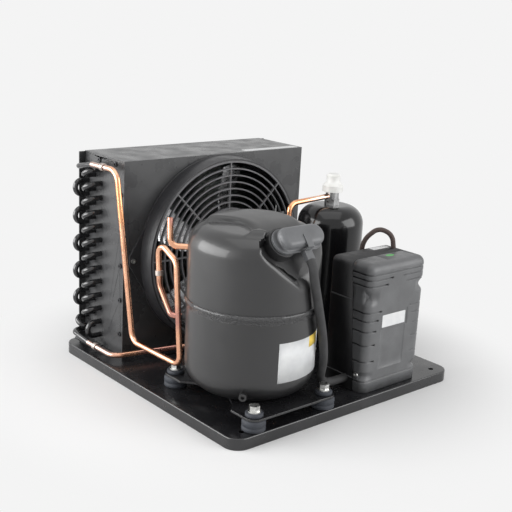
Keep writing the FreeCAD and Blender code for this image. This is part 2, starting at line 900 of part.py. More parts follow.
def end_plate(side):
    """Sheet steel end of the coil, with a foot on the base and a flange along the back."""
    face = coil_left + shroud_sheet if side < 0 else coil_right - shroud_sheet - end_plate_sheet
    outer = face if side < 0 else face + end_plate_sheet
    top = cowl_top - shroud_sheet
    plate = block(face, face + end_plate_sheet, end_plate_front, shroud_back, base_top, top)
    reach = outer + side * (end_plate_flange + shroud_sheet)
    back = shroud_back - end_plate_sheet
    plate = plate.fuse(block(min(outer, reach), max(outer, reach), back, shroud_back, base_top, top))
    reach = outer + side * 2 * (end_plate_flange - 1)
    plate = plate.fuse(block(min(outer, reach), max(outer, reach), end_plate_front, shroud_back,
                             base_top, coil_foot_z))
    for y, z in all_tube_places():
        hole = rod(tube_radius + tube_hole_gap, 1 + end_plate_sheet, at(face - 0.5, y, z), RIGHT)
        plate = plate.cut(hole)
    for place in coil_screws:
        plate = plate.cut(screw_hole(place, UP, base_screw_length))
    for place, direction in cowl_screws:
        plate = plate.cut(screw_hole(place, direction, cowl_screw_length))
    return plate.removeSplitter()


def fan_shroud():
    """Folded sheet cowl: front with the fan opening, top, and sides cut back round the coil ends."""
    outer = block(coil_left, coil_right, shroud_front, shroud_back, base_top, cowl_top)
    inner = block(coil_left + shroud_sheet, coil_right - shroud_sheet, shroud_front + shroud_sheet,
                  shroud_back, base_top, cowl_top - shroud_sheet)
    cowl = outer.cut(inner)
    window_y = end_plate_front - seat_gap
    flange_y = shroud_back - 2 * end_plate_sheet
    under = cowl_top - shroud_sheet
    for x in (coil_left, coil_right - shroud_sheet):
        cowl = cowl.cut(block(x, x + shroud_sheet, window_y, shroud_back, base_top, side_window_top))
        cowl = cowl.cut(block(x, x + shroud_sheet, flange_y, shroud_back, base_top, under))
    cowl = cowl.cut(rod(fan_opening, 2 * shroud_sheet, at(fan_x, shroud_front - 0.5, fan_z), AWAY))
    for place, direction in cowl_screws:
        cowl = cowl.cut(screw_hole(place, direction, cowl_screw_length))
    for place, direction in lug_screws:
        cowl = cowl.cut(screw_hole(place, direction, lug_screw_length))
    return cowl


# Screws: along both sides of the cowl, and one at each lug of the fan ring
cowl_screw_length = 3 * shroud_sheet
lug_screw_length = lug_thickness + 2 * shroud_sheet
cowl_screws = []
for x, side in ((coil_left, -1), (coil_right, 1)):
    for i in range(5):
        level = cowl_screw_z + i * cowl_screw_pitch
        cowl_screws.append((at(x, shroud_front + cowl_screw_inset, level), RIGHT * side))
    for y in (shroud_front + 26, shroud_front + 78):
        cowl_screws.append((at(x, y, cowl_top - cowl_screw_inset), RIGHT * side))
lug_screws = [(at(fan_x + side * lug_hole_reach, shroud_front - lug_thickness, fan_z), AWAY * -1)
              for side in (-1, 1)]


def in_fan(points):
    """A solid of revolution round the fan's axis from radius and y pairs."""
    corners = [at(fan_x + r, y, fan_z) for r, y in points]
    wire = Part.makePolygon(corners + corners[:1])
    return Part.Face(wire).revolve(at(fan_x, 0, fan_z), AWAY, 360)


def fan_ring():
    """Moulded wall ring round the blades, with a lug at each side."""
    base = shroud_front
    lip = base - ring_depth
    step = base - ring_wall
    waist = base - 20
    ring = in_fan([(fan_opening, base), (ring_radius + ring_flange, base), (ring_radius + ring_flange, step),
                   (ring_radius - 0.5, step), (ring_radius - 1, waist),
                   (ring_lip_radius + ring_wall, lip), (ring_lip_radius, lip),
                   (ring_lip_radius, lip + guard_depth), (ring_radius - ring_wall - 1.5, waist),
                   (ring_radius - ring_wall, step), (fan_opening, step)])
    inside = rod(ring_radius - ring_wall, ring_depth, at(fan_x, lip, fan_z), AWAY)
    for side in (-1, 1):
        tip = fan_x + side * lug_reach
        root = fan_x + side * (ring_radius - 24)
        outline = [at(tip, base, fan_z - 8), at(tip, base, fan_z + 8),
                   at(root, base, fan_z + lug_half_height), at(root, base, fan_z - lug_half_height)]
        lug = Part.Face(Part.makePolygon(outline + outline[:1])).extrude(at(0, -lug_thickness, 0))
        ring = ring.fuse(lug.cut(inside))
    for place, direction in lug_screws:
        ring = ring.cut(screw_hole(place, direction, lug_screw_length))
    return ring.removeSplitter()


def fan_guard():
    """Flat-barred finger guard, moulded with the plate that carries the motor."""
    y = shroud_front - ring_depth
    rim = ring_lip_radius - running_gap
    guard = sleeve(rim, rim - 1.5 * guard_bar, guard_depth, at(fan_x, y, fan_z), AWAY)
    plate = rod(motor_plate_radius, guard_depth, at(fan_x, y, fan_z), AWAY)
    guard = guard.fuse(plate)
    for i in range(1, guard_rings + 1):
        radius = rim - guard_bar / 2 - i * guard_pitch
        guard = guard.fuse(sleeve(radius, radius - guard_bar, guard_depth, at(fan_x, y, fan_z), AWAY))
    length = rim - guard_bar - motor_plate_radius + 2
    for i in range(guard_spokes):
        spoke = block(motor_plate_radius - 1, motor_plate_radius - 1 + length, 0, guard_depth,
                      -guard_bar / 2, guard_bar / 2)
        turn = FreeCAD.Rotation(AWAY, i * 360 / guard_spokes)
        spoke.Placement = FreeCAD.Placement(at(fan_x, y, fan_z), turn)
        guard = guard.fuse(spoke)
    guard = guard.cut(rod(fan_shaft_radius + 2, 2 * guard_depth, at(fan_x, y - 1, fan_z), AWAY))
    return guard.removeSplitter()


motor_back = shroud_front - ring_depth
motor_front = motor_back - motor_length


def fan_motor():
    """Closed motor housing with its stator ring, on the front of the guard's plate."""
    body = rod(motor_radius, motor_length, at(fan_x, motor_front, fan_z), AWAY)
    body = body.makeFillet(6, [e for e in body.Edges if abs(e.BoundBox.YMax - motor_front) < 1e-6])
    inside = rod(fan_rotor_radius + air_gap, fan_rotor_length + 2, at(fan_x, motor_front + 10, fan_z), AWAY)
    shaft_hole = rod(fan_shaft_radius + running_gap, motor_length, at(fan_x, motor_front + 5, fan_z), AWAY)
    return body.cut(inside).cut(shaft_hole)


def fan_shaft():
    """Motor shaft with its rotor."""
    start = at(fan_x, motor_front + 5 + seat_gap, fan_z)
    shaft = rod(fan_shaft_radius, motor_length + ring_depth - 6, start, AWAY)
    rotor = rod(fan_rotor_radius, fan_rotor_length, at(fan_x, motor_front + 11, fan_z), AWAY)
    return shaft.fuse(rotor).removeSplitter()


def blade_section(radius, chord, pitch, sweep):
    """A flat quadrilateral across the blade at one radius, in the fan's frame with Z outwards."""
    tilt = math.radians(pitch)
    along = at(math.cos(tilt), math.sin(tilt), 0) * (chord / 2)
    across = at(-math.sin(tilt), math.cos(tilt), 0) * (blade_thickness / 2)
    centre = at(sweep, 0, radius)
    corners = [centre - along - across, centre + along - across,
               centre + along + across, centre - along + across]
    return Part.makePolygon(corners + corners[:1])


def fan_blade():
    """Hub and swept blades in one piece."""
    boss = rod(fan_shaft_radius * 2.5, fan_hub_length - hub_wall, at(0, 0, 0), AWAY)
    hollow = rod(fan_hub_radius - hub_wall, fan_hub_length, at(0, hub_wall, 0), AWAY).cut(boss)
    wheel = rod(fan_hub_radius, fan_hub_length, at(0, 0, 0), AWAY)
    sweep_room = rod(fan_tip_radius, 2 * fan_hub_length, at(0, -fan_hub_length / 2, 0), AWAY)
    sections = [blade_section(fan_hub_radius - 2, 34, 42, 0), blade_section(fan_tip_radius * 0.65, 62, 28, 6),
                blade_section(fan_tip_radius + 6, 74, 20, 24)]
    blank = Part.makeLoft(sections, True, True)
    for i in range(blade_count):
        blade = blank.copy()
        turn = FreeCAD.Rotation(AWAY, i * 360 / blade_count)
        blade.Placement = FreeCAD.Placement(at(0, fan_hub_length / 2, 0), turn)
        wheel = wheel.fuse(blade.common(sweep_room))
    wheel = wheel.cut(hollow).cut(rod(fan_shaft_radius + running_gap, fan_hub_length, at(0, -1, 0), AWAY))
    wheel.translate(at(fan_x, motor_back + guard_depth + hub_wall, fan_z))
    return wheel


# Ends of the coil and the long copper lines
inlet_points = [at(tube_from, first_row_y, top_tube_z), at(-229, first_row_y, top_tube_z),
                at(-227, 190, top_tube_z + 11)]
outlet_points = [at(tube_from, first_row_y, first_tube_z), at(-237, first_row_y, first_tube_z),
                 at(-238, 182, first_tube_z - 5)]
stub_root = shell_side(discharge_angle, discharge_z, shell_radius)
stub_way = outward(discharge_angle)
loop_x = shell_x - shell_radius + 17.5
discharge_points = [inlet_points[-1], at(-224, 116, 355), at(loop_x - 2, 72, 66),
                    at(loop_x + 1, shell_y + 70, 66), at(loop_x, shell_y + 86, 236),
                    at(loop_x, shell_y + 137, 260), at(loop_x - 1, shell_y + 129, 186),
                    stub_root + stub_way * 25, stub_root]
discharge_radii = [22, 20, 15, 18, 13, 24, 10]
liquid_points = [outlet_points[-1], at(-236, 104, 32), at(-108, 78, 32), at(30, 62, 32),
                 at(46, receiver_y, 32), at(46, receiver_y, 298),
                 at(receiver_x - valve_body_radius + 5, receiver_y, 303)]
liquid_radii = [20, 40, 22, 18, 16]


def coil_stubs():
    """Painted tube ends that leave the coil at the top and the bottom, cut square to the lines."""
    stubs = []
    for points, bend, onward in ((inlet_points, 12, discharge_points), (outlet_points, 14, liquid_points)):
        end = points[-1]
        run_on = end + (end - points[-2]).normalize() * tube_radius
        stub = pipe(points[:-1] + [run_on], [bend], tube_radius, pipe_wall)
        way = (onward[1] - onward[0]).normalize()
        stubs.append(stub.cut(rod(2 * tube_radius, 2 * tube_radius, end, way)))
    return stubs


def discharge_line():
    return pipe(discharge_points, discharge_radii, pipe_radius, pipe_wall)


def liquid_line():
    return pipe(liquid_points, liquid_radii, pipe_radius, pipe_wall)


def joint_on(a, b, fraction):
    """A brazed coupling round the straight stretch from a to b."""
    way = (b - a).normalize()
    place = a + (b - a) * fraction - way * (joint_length / 2)
    return sleeve(joint_radius, pipe_radius + braze_gap, joint_length, place, way)


def pipe_joints():
    return [joint_on(discharge_points[0], discharge_points[1], 0.45),
            joint_on(discharge_points[5], discharge_points[6], 0.72),
            joint_on(liquid_points[0], liquid_points[1], 0.30)]


def receiver_form(radius, bend, low, high):
    axis = at(receiver_x, receiver_y, 0)
    a, b = axis + UP * low, axis + at(radius - bend, 0, low)
    c, d = axis + at(radius, 0, low + bend), axis + at(radius, 0, high - bend)
    e, f = axis + at(radius - bend, 0, high), axis + UP * high
    return turned([line(a, b), corner_arc(b + UP * bend, b, c, bend), line(c, d),
                   corner_arc(d - RIGHT * bend, d, e, bend), line(e, f), line(f, a)], axis)


receiver_axis = at(receiver_x, receiver_y, 0)


def receiver_shell():
    outer = receiver_form(receiver_radius, receiver_bend, receiver_bottom_z, receiver_top_z)
    inner = receiver_form(receiver_radius - receiver_wall, receiver_bend - receiver_wall,
                          receiver_bottom_z + receiver_wall, receiver_top_z - receiver_wall)
    hole_place = receiver_axis + UP * (receiver_top_z - 3 * receiver_wall)
    hole = rod(dip_radius + running_gap, 4 * receiver_wall, hole_place)
    return outer.cut(inner).cut(hole)


def receiver_foot():
    """Pressed ring foot with a screw flange."""
    rise = receiver_bottom_z + receiver_bend - base_top
    inset = receiver_foot_radius - receiver_radius + receiver_bend - receiver_foot_sheet
    height = rise - math.sqrt(receiver_bend ** 2 - inset ** 2)
    seat = receiver_axis + UP * base_top
    inner = receiver_foot_radius - receiver_foot_sheet
    wall = sleeve(receiver_foot_radius, inner, height, seat)
    flange = sleeve(receiver_foot_radius + 13, inner, receiver_foot_sheet, seat)
    foot = wall.fuse(flange).removeSplitter()
    for place in receiver_screws:
        foot = foot.cut(screw_hole(place, UP, base_screw_length))
    return foot


def dip_tube():
    return sleeve(dip_radius, dip_radius - 1, receiver_top_z - receiver_bottom_z - 18,
                  receiver_axis + UP * (receiver_bottom_z + 18))


valve_z = receiver_top_z + valve_hex_height
neck_z = valve_z + valve_body_height
neck_top_z = neck_z + valve_neck_height


def valve_body():
    """Steel valve: hex joint on the receiver, side port for the liquid line, open neck."""
    body = hexagon(valve_hex, valve_hex_height, receiver_axis + UP * receiver_top_z)
    body = body.fuse(rod(valve_body_radius, valve_body_height, receiver_axis + UP * valve_z))
    body = body.fuse(rod(valve_neck_radius, valve_neck_height, receiver_axis + UP * neck_z))
    body = body.cut(rod(valve_bore, neck_top_z, receiver_axis + UP * (valve_z + 3)))
    body = body.cut(rod(dip_radius - 1, valve_hex_height + 4, receiver_axis + UP * receiver_top_z))
    end = liquid_points[-1]
    way = (liquid_points[-2] - end).normalize()
    body = body.cut(rod(pipe_radius + running_gap, valve_body_radius * 2, end, way))
    port = rod((pipe_radius - pipe_wall), valve_body_radius, end - way * valve_body_radius * 0.6, way)
    return body.cut(port).removeSplitter()


spindle_from = neck_z + 2


def valve_spindle():
    """Round stem in the neck with a square end."""
    stem = rod(spindle_radius, neck_top_z - spindle_from, receiver_axis + UP * spindle_from)
    half = spindle_square / 2
    square = block(receiver_x - half, receiver_x + half, receiver_y - half, receiver_y + half,
                   neck_top_z, neck_top_z + spindle_square)
    return stem.fuse(square).removeSplitter()


def valve_cap():
    """White plastic cap: wide skirt on the valve's body, narrow crown over the neck."""
    low = neck_z + seat_gap
    shoulder = low + cap_skirt_height
    top = low + cap_height
    x = receiver_axis
    outline = [(0, low), (cap_radius, low), (cap_radius, shoulder - 3), (cap_radius - 3, shoulder),
               (cap_crown_radius + 1, shoulder + 2), (cap_crown_radius, shoulder + 4),
               (cap_crown_radius, top - 3), (cap_crown_radius - 3, top), (0, top)]
    corners = [x + at(r, 0, z) for r, z in outline]
    solid = Part.Face(Part.makePolygon(corners + corners[:1])).revolve(x, UP, 360)
    hollow = rod(valve_neck_radius + seat_gap, cap_height - cap_wall, x + UP * low)
    inner = valve_neck_radius + 2 * cap_wall
    recess = sleeve(cap_radius - cap_wall, inner, cap_skirt_height - 5, x + UP * low)
    return solid.cut(hollow).cut(recess)


shell_top = box_top - back_inset


def leaning_room(low, high, side):
    """Room in front of the leaning seam (side -1) or behind it (side 1), shifted along Y at its
    foot and its top."""
    far = box_front + side * box_top
    corners = [at(0, low, base_top), at(0, high, box_top), at(0, far, box_top), at(0, far, base_top)]
    room = Part.Face(Part.makePolygon(corners + corners[:1])).extrude(at(2 * box_right, 0, 0))
    return room


def box_shell():
    """Black back half of the control box, open to the front along a leaning seam."""
    shell_front = box_front + cover_low_run - cover_overlap
    shell_front_top = box_front + cover_run - cover_overlap
    outer = block(box_left + back_inset, box_right - back_inset, shell_front, box_back, base_top, shell_top)
    back_edges = [e for e in upright_edges(outer) if abs(e.BoundBox.YMax - box_back) < 1e-6]
    outer = outer.makeFillet(box_corner / 2, back_edges)
    inner = block(box_left + back_inset + box_wall, box_right - back_inset - box_wall, shell_front,
                  box_back - box_wall, box_floor_z, shell_top - box_wall)
    back_edges = [e for e in upright_edges(inner) if abs(e.BoundBox.YMax - box_back + box_wall) < 1e-6]
    inner = inner.makeFillet(box_corner / 2 - box_wall, back_edges)
    shell = outer.cut(inner).cut(leaning_room(shell_front, shell_front_top, -1))
    for place in box_screws:
        shell = shell.cut(screw_hole(place, UP, base_screw_length))
    for radius, end, before in ((cable_radius, lead_points[-1], lead_points[-2]),
                                (jumper_radius, jumper_points[0], jumper_points[1]),
                                (jumper_radius, jumper_points[-1], jumper_points[-2])):
        shell = shell.cut(rod(radius + seat_gap, 8 * box_wall, end, before - end))
    return shell


def box_cover():
    """Grey front half, lapped over the back half, with rounded front corners."""
    back = box_front + cover_run
    outer = block(box_left, box_right, box_front, back, base_top + seat_gap, box_top)
    front_edges = [e for e in upright_edges(outer) if abs(e.BoundBox.YMin - box_front) < 1e-6]
    outer = outer.makeFillet(box_corner, front_edges)
    top_edges = [e for e in rim_edges(outer, box_top) if e.BoundBox.YMax < back - 1e-6]
    outer = outer.makeFillet(cover_top_round, top_edges)
    inner = block(box_left + box_wall, box_right - box_wall, box_front + box_wall, back,
                  0, box_top - box_wall)
    front_edges = [e for e in upright_edges(inner) if abs(e.BoundBox.YMin - box_front - box_wall) < 1e-6]
    inner = inner.makeFillet(box_corner - box_wall, front_edges)
    behind = leaning_room(box_front + cover_low_run, back, 1)
    return outer.cut(inner).cut(behind).cut(screw_hole(box_screw_place, RIGHT * -1, box_wall))


box_screw_place = at(box_left, box_front + cover_low_run * 0.75, box_screw_z)


def start_capacitor():
    return rod(start_cap_radius, start_cap_length, at(box_left + 40, box_back - 34, box_floor_z))


def run_capacitor():
    return rod(run_cap_radius, run_cap_length, at(box_left + 76, box_back - 34, box_floor_z))


def start_relay():
    """Relay on the box's back wall."""
    x, y, z = box_right - 48, box_back - box_wall, box_floor_z + 90
    return block(x, x + relay_width, y - relay_depth, y, z, z + relay_height)


def terminal_block():
    """Strip of screw terminals on the box's back wall."""
    x, y, z = box_left + 24, box_back - box_wall, box_floor_z + 120
    strip = block(x, x + strip_count * strip_pitch, y - strip_depth, y, z, z + 2 * strip_pitch)
    for i in range(strip_count):
        place = at(x + strip_pitch * (i + 0.5), y - strip_depth, z + strip_pitch)
        strip = strip.cut(rod(strip_pitch * 0.3, strip_depth / 2, place, AWAY))
    return strip


# The short lead over the top of the control box, out of its back and into its top
jumper_points = [at(119, box_back - 10, 205), at(119, box_back + 13, 214), at(119, box_back + 9, 250),
                 at(137, box_back - 7, 272), at(154, box_back - 25, 262),
                 at(155, box_back - 31, shell_top - 8)]


def soft_lead(points, radius):
    radii = soft_radii(points)
    print("arc radii", [round(r, 1) for r in radii])
    lead = swept(points, radii, radius)
    length = route(points, radii).Length
    print("length", round(length, 1), "volume over section times length",
          round(lead.Volume / (math.pi * radius ** 2 * length), 5))
    return lead


os.makedirs("parts", exist_ok=True)
save("base_plate", base_plate())
save("compressor_foot", foot_plate())
save("rubber_mounts", *[rubber_mount(p) for p in mounts])
save("mount_sleeves", *[mount_sleeve(p) for p in mounts])
save("mount_bolts", *[mount_bolt(p) for p in mounts])
save("mount_nuts", *[mount_nut(p) for p in mounts])
save("lower_shell", lower_shell())
save("upper_shell", upper_shell())
save("weld_band", weld_band())
save("cylinder_block", cylinder_block())
save("valve_plate", valve_plate())
save("cylinder_head", cylinder_head())
save("stator_core", stator_core())
save("stator_windings", *stator_windings())
save("suspension_springs", *suspension_springs())
save("motor_rotor", motor_rotor())
save("crankshaft", crankshaft())
save("piston", piston())
save("piston_pin", piston_pin())
save("connecting_rod", connecting_rod())
save("hermetic_terminal", *hermetic_terminal())
save("overload_protector", overload_protector())
save("terminal_fence", terminal_fence())
save("terminal_cover", terminal_cover())
save("cover_clip", cover_clip())
save("lead_latch", lead_latch())
save("compressor_lead", soft_lead(lead_points, cable_radius))
save("suction_stub", suction_stub())
save("discharge_stub", discharge_stub())
save("discharge_line", discharge_line())
save("liquid_line", liquid_line())
save("pipe_joints", *pipe_joints())
save("coil_stubs", *coil_stubs())
save("coil_tubes", *coil_tubes())
save("return_bends", *return_bends())
save("condenser_fins", *condenser_fins())
save("end_plates", end_plate(-1), end_plate(1))
save("fan_shroud", fan_shroud())
save("shroud_screws", *[screw(p, d, cowl_screw_length) for p, d in cowl_screws])
save("fan_ring", fan_ring())
save("ring_screws", *[screw(p, d, lug_screw_length) for p, d in lug_screws])
save("fan_guard", fan_guard())
save("fan_motor", fan_motor())
save("fan_shaft", fan_shaft())
save("fan_blade", fan_blade())
save("receiver_shell", receiver_shell())
save("receiver_foot", receiver_foot())
save("dip_tube", dip_tube())
save("valve_body", valve_body())
save("valve_spindle", valve_spindle())
save("valve_cap", valve_cap())
save("box_shell", box_shell())
save("box_cover", box_cover())
save("box_screw", screw(box_screw_place, RIGHT * -1, box_wall))
save("start_capacitor", start_capacitor())
save("run_capacitor", run_capacitor())
save("start_relay", start_relay())
save("terminal_block", terminal_block())
save("base_screws", *[screw(p, UP, base_screw_length) for p in receiver_screws + box_screws + coil_screws])
save("jumper_lead", soft_lead(jumper_points, jumper_radius))
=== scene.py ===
import math
import bmesh
import bpy
from mathutils import Matrix, Vector


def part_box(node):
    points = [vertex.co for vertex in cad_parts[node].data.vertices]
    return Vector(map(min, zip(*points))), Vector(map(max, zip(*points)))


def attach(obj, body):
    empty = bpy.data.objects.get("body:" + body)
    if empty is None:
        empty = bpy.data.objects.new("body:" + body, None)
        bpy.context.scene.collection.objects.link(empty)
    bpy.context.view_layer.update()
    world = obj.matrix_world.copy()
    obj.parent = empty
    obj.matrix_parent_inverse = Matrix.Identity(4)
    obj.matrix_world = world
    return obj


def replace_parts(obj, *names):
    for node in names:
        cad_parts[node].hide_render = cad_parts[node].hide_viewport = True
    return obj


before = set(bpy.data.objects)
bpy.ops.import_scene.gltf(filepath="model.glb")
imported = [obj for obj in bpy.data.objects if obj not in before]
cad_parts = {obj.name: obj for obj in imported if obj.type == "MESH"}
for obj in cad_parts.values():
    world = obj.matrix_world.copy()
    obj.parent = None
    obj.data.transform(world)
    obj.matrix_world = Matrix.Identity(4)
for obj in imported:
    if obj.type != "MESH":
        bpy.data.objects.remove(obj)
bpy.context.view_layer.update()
scene = bpy.context.scene

# The camera stands at the photograph's place and angle, found from the base's corners, the cowl
# and the mount bolts.
camera_lens = 64.99
camera_place = Matrix((
    (0.75935, 0.13509, -0.63650, -1.04459),
    (-0.64874, 0.23271, -0.72456, -1.17901),
    (0.05024, 0.96312, 0.26435, 0.63589),
    (0, 0, 0, 1)))
camera = bpy.data.objects.new("camera", bpy.data.cameras.new("camera"))
camera.data.lens = camera_lens
camera.data.sensor_width = 36
camera.data.clip_end = 60
camera.matrix_world = camera_place
scene.collection.objects.link(camera)
scene.camera = camera

# Studio: pale paper underfoot that runs out into a pale surround, and three soft panels. The
# surround lights the object less strongly than it shows behind it and in gloss.
paper_tone = 0.905


def shown_rays(tree):
    """One where the eye, gloss or glass looks, and nothing where light only spreads."""
    rays = tree.nodes.new("ShaderNodeLightPath")
    share = rays.outputs["Is Camera Ray"]
    for kind in ("Is Glossy Ray", "Is Transmission Ray"):
        either = tree.nodes.new("ShaderNodeMath")
        either.operation = "MAXIMUM"
        tree.links.new(share, either.inputs[0])
        tree.links.new(rays.outputs[kind], either.inputs[1])
        share = either.outputs[0]
    return share


world = bpy.data.worlds.new("surround")
scene.world = world
world.use_nodes = True
sky = world.node_tree
sky_light = sky.nodes["Background"]
sky_light.inputs["Color"].default_value = (1, 1, 1, 1)
sky_light.inputs["Strength"].default_value = 0.32
sky_shown = sky.nodes.new("ShaderNodeBackground")
sky_shown.inputs["Color"].default_value = (paper_tone, paper_tone, paper_tone, 1)
sky_shown.inputs["Strength"].default_value = 1.0
sky_mix = sky.nodes.new("ShaderNodeMixShader")
sky.links.new(shown_rays(sky), sky_mix.inputs[0])
sky.links.new(sky_light.outputs[0], sky_mix.inputs[1])
sky.links.new(sky_shown.outputs[0], sky_mix.inputs[2])
sky.links.new(sky_mix.outputs[0], sky.nodes["World Output"].inputs["Surface"])

unit_middle = Vector((0, 0, 0.2))
for name, place, wide, high, watts in (("panel_top", (-0.2, -0.3, 2.2), 2.0, 2.0, 12),
                                       ("panel_left", (-1.65, 0.75, 0.66), 2.2, 1.2, 50),
                                       ("panel_right", (1.1, -2.0, 0.95), 1.9, 1.6, 40)):
    panel_data = bpy.data.lights.new(name, "AREA")
    panel_data.shape = "RECTANGLE"
    panel_data.size = wide
    panel_data.size_y = high
    panel_data.energy = watts
    panel = bpy.data.objects.new(name, panel_data)
    panel.location = place
    panel.rotation_euler = (unit_middle - Vector(place)).to_track_quat("-Z", "Y").to_euler()
    scene.collection.objects.link(panel)

# The paper's shading ends within these distances of the middle, and the plain surround takes over
fade_from, fade_to = 0.30, 0.54
paper_reach = 9
floor_form = bmesh.new()
bmesh.ops.create_circle(floor_form, cap_ends=True, segments=96, radius=paper_reach)
floor_mesh = bpy.data.meshes.new("floor")
floor_form.to_mesh(floor_mesh)
floor_form.free()
floor = bpy.data.objects.new("floor", floor_mesh)
scene.collection.objects.link(floor)
floor_finish = bpy.data.materials.new("floor_paper")
floor_finish.use_nodes = True
floor_tree = floor_finish.node_tree
floor_shader = floor_tree.nodes["Principled BSDF"]
floor_shader.inputs["Base Color"].default_value = (0.8, 0.8, 0.8, 1)
floor_shader.inputs["Roughness"].default_value = 0.9
floor_shader.inputs["Specular IOR Level"].default_value = 0.1
floor_far = floor_tree.nodes.new("ShaderNodeVectorMath")
floor_far.operation = "LENGTH"
floor_place = floor_tree.nodes.new("ShaderNodeTexCoord").outputs["Object"]
floor_tree.links.new(floor_place, floor_far.inputs[0])
floor_fade = floor_tree.nodes.new("ShaderNodeMapRange")
floor_fade.interpolation_type = "SMOOTHSTEP"
floor_fade.inputs["From Min"].default_value = fade_from
floor_fade.inputs["From Max"].default_value = fade_to
floor_tree.links.new(floor_far.outputs["Value"], floor_fade.inputs["Value"])
floor_share = floor_tree.nodes.new("ShaderNodeMath")
floor_share.operation = "MULTIPLY"
floor_tree.links.new(floor_fade.outputs["Result"], floor_share.inputs[0])
floor_tree.links.new(shown_rays(floor_tree), floor_share.inputs[1])
floor_shown = floor_tree.nodes.new("ShaderNodeEmission")
floor_shown.inputs["Color"].default_value = (paper_tone, paper_tone, paper_tone, 1)
floor_shown.inputs["Strength"].default_value = 1.0
floor_mix = floor_tree.nodes.new("ShaderNodeMixShader")
floor_tree.links.new(floor_share.outputs[0], floor_mix.inputs[0])
floor_tree.links.new(floor_shader.outputs[0], floor_mix.inputs[1])
floor_tree.links.new(floor_shown.outputs[0], floor_mix.inputs[2])
floor_tree.links.new(floor_mix.outputs[0], floor_tree.nodes["Material Output"].inputs["Surface"])
floor_mesh.materials.append(floor_finish)


# Base: a square pan pressed from sheet steel with a turned-down rim, painted satin black.
# Every other piece is fixed to it.
def new_finish(name, colour, rough, metal=0.0):
    """A finish with the shader's plain values, and the place of each point on the piece."""
    made = bpy.data.materials.new(name)
    made.use_nodes = True
    tree = made.node_tree
    shader = tree.nodes["Principled BSDF"]
    shader.inputs["Base Color"].default_value = (*colour, 1)
    shader.inputs["Roughness"].default_value = rough
    shader.inputs["Metallic"].default_value = metal
    place = tree.nodes.new("ShaderNodeTexCoord").outputs["Object"]
    return made, tree, shader, place


def stretched(tree, place, scale):
    """The piece's coordinates drawn out along an axis, for grain that runs one way."""
    node = tree.nodes.new("ShaderNodeMapping")
    node.inputs["Scale"].default_value = scale
    tree.links.new(place, node.inputs["Vector"])
    return node.outputs["Vector"]


def mottle(tree, place, scale, low, high, detail=3.0):
    """Soft patches that run from low to high."""
    noise = tree.nodes.new("ShaderNodeTexNoise")
    noise.inputs["Scale"].default_value = scale
    noise.inputs["Detail"].default_value = detail
    tree.links.new(place, noise.inputs["Vector"])
    spread = tree.nodes.new("ShaderNodeMapRange")
    spread.inputs["From Min"].default_value = 0.35
    spread.inputs["From Max"].default_value = 0.65
    spread.inputs["To Min"].default_value = low
    spread.inputs["To Max"].default_value = high
    tree.links.new(noise.outputs["Fac"], spread.inputs["Value"])
    return spread.outputs["Result"]


def two_colours(tree, share, first, second):
    """A mix of two colours; either may be another node's output."""
    node = tree.nodes.new("ShaderNodeMix")
    node.data_type = "RGBA"
    tree.links.new(share, node.inputs[0])
    for socket, colour in ((node.inputs[6], first), (node.inputs[7], second)):
        if isinstance(colour, tuple):
            socket.default_value = (*colour, 1)
        else:
            tree.links.new(colour, socket)
    return node.outputs[2]


def relief(tree, shader, height, strength, depth):
    """Fine surface relief of that depth in metres."""
    bump = tree.nodes.new("ShaderNodeBump")
    bump.inputs["Strength"].default_value = strength
    bump.inputs["Distance"].default_value = depth
    tree.links.new(height, bump.inputs["Height"])
    tree.links.new(bump.outputs["Normal"], shader.inputs["Normal"])


def satin_paint(name, colour, worn, rough, sheen_level=0.5):
    """Sprayed satin paint: fine orange peel, a little dust and uneven gloss."""
    made, tree, shader, place = new_finish(name, colour, rough)
    shader.inputs["Specular IOR Level"].default_value = sheen_level
    dust = mottle(tree, place, 9, 0.0, 0.6, 6.0)
    tree.links.new(two_colours(tree, dust, colour, worn), shader.inputs["Base Color"])
    tree.links.new(mottle(tree, place, 30, rough - 0.06, rough + 0.1), shader.inputs["Roughness"])
    relief(tree, shader, mottle(tree, place, 900, 0, 1), 0.12, 0.00012)
    return made


def merged_form(node):
    """A copy of a CAD node's surface with its loose corners joined."""
    form = bmesh.new()
    form.from_mesh(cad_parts[node].data)
    bmesh.ops.remove_doubles(form, verts=form.verts, dist=2e-6)
    return form


def show(form, name, finish, body="unit", turn=32, edge_round=0.0):
    """Makes a piece of a form: rounds shade smooth, edges sharper than turn stay crisp."""
    for face in form.faces:
        face.smooth = True
    for edge in form.edges:
        edge.smooth = edge.calc_face_angle(0.0) < math.radians(turn)
    mesh = bpy.data.meshes.new(name)
    form.to_mesh(mesh)
    form.free()
    if "custom_normal" in mesh.attributes:
        mesh.attributes.remove(mesh.attributes["custom_normal"])
    mesh.materials.clear()
    mesh.materials.append(finish)
    for polygon in mesh.polygons:
        polygon.material_index = 0
    piece = bpy.data.objects.new(name, mesh)
    scene.collection.objects.link(piece)
    if edge_round:
        soft = piece.modifiers.new("edge_round", "BEVEL")
        soft.width = edge_round
        soft.segments = 2
        soft.limit_method = "ANGLE"
        soft.angle_limit = math.radians(turn + 8)
        soft.harden_normals = True
    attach(piece, body)
    return piece


def smooth_node(node, finish, body="unit", turn=32, edge_round=0.0):
    """A CAD node shown through its merged copy, so that its rounds shade smooth."""
    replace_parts(show(merged_form(node), node + "_skin", finish, body, turn, edge_round), node)


def dress(node, finish):
    """A CAD node that keeps its own surface and gets a finish."""
    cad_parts[node].data.materials.clear()
    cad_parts[node].data.materials.append(finish)


base_black = satin_paint("base_black", (0.009, 0.009, 0.010), (0.018, 0.018, 0.020), 0.24, 0.75)
smooth_node("base_plate", base_black, edge_round=0.0006)

# Compressor foot: flat steel, waisted at its sides. It is welded under the shell, painted like
# the base, and stands on the four rubber mounts.
smooth_node("compressor_foot", base_black, edge_round=0.0005)


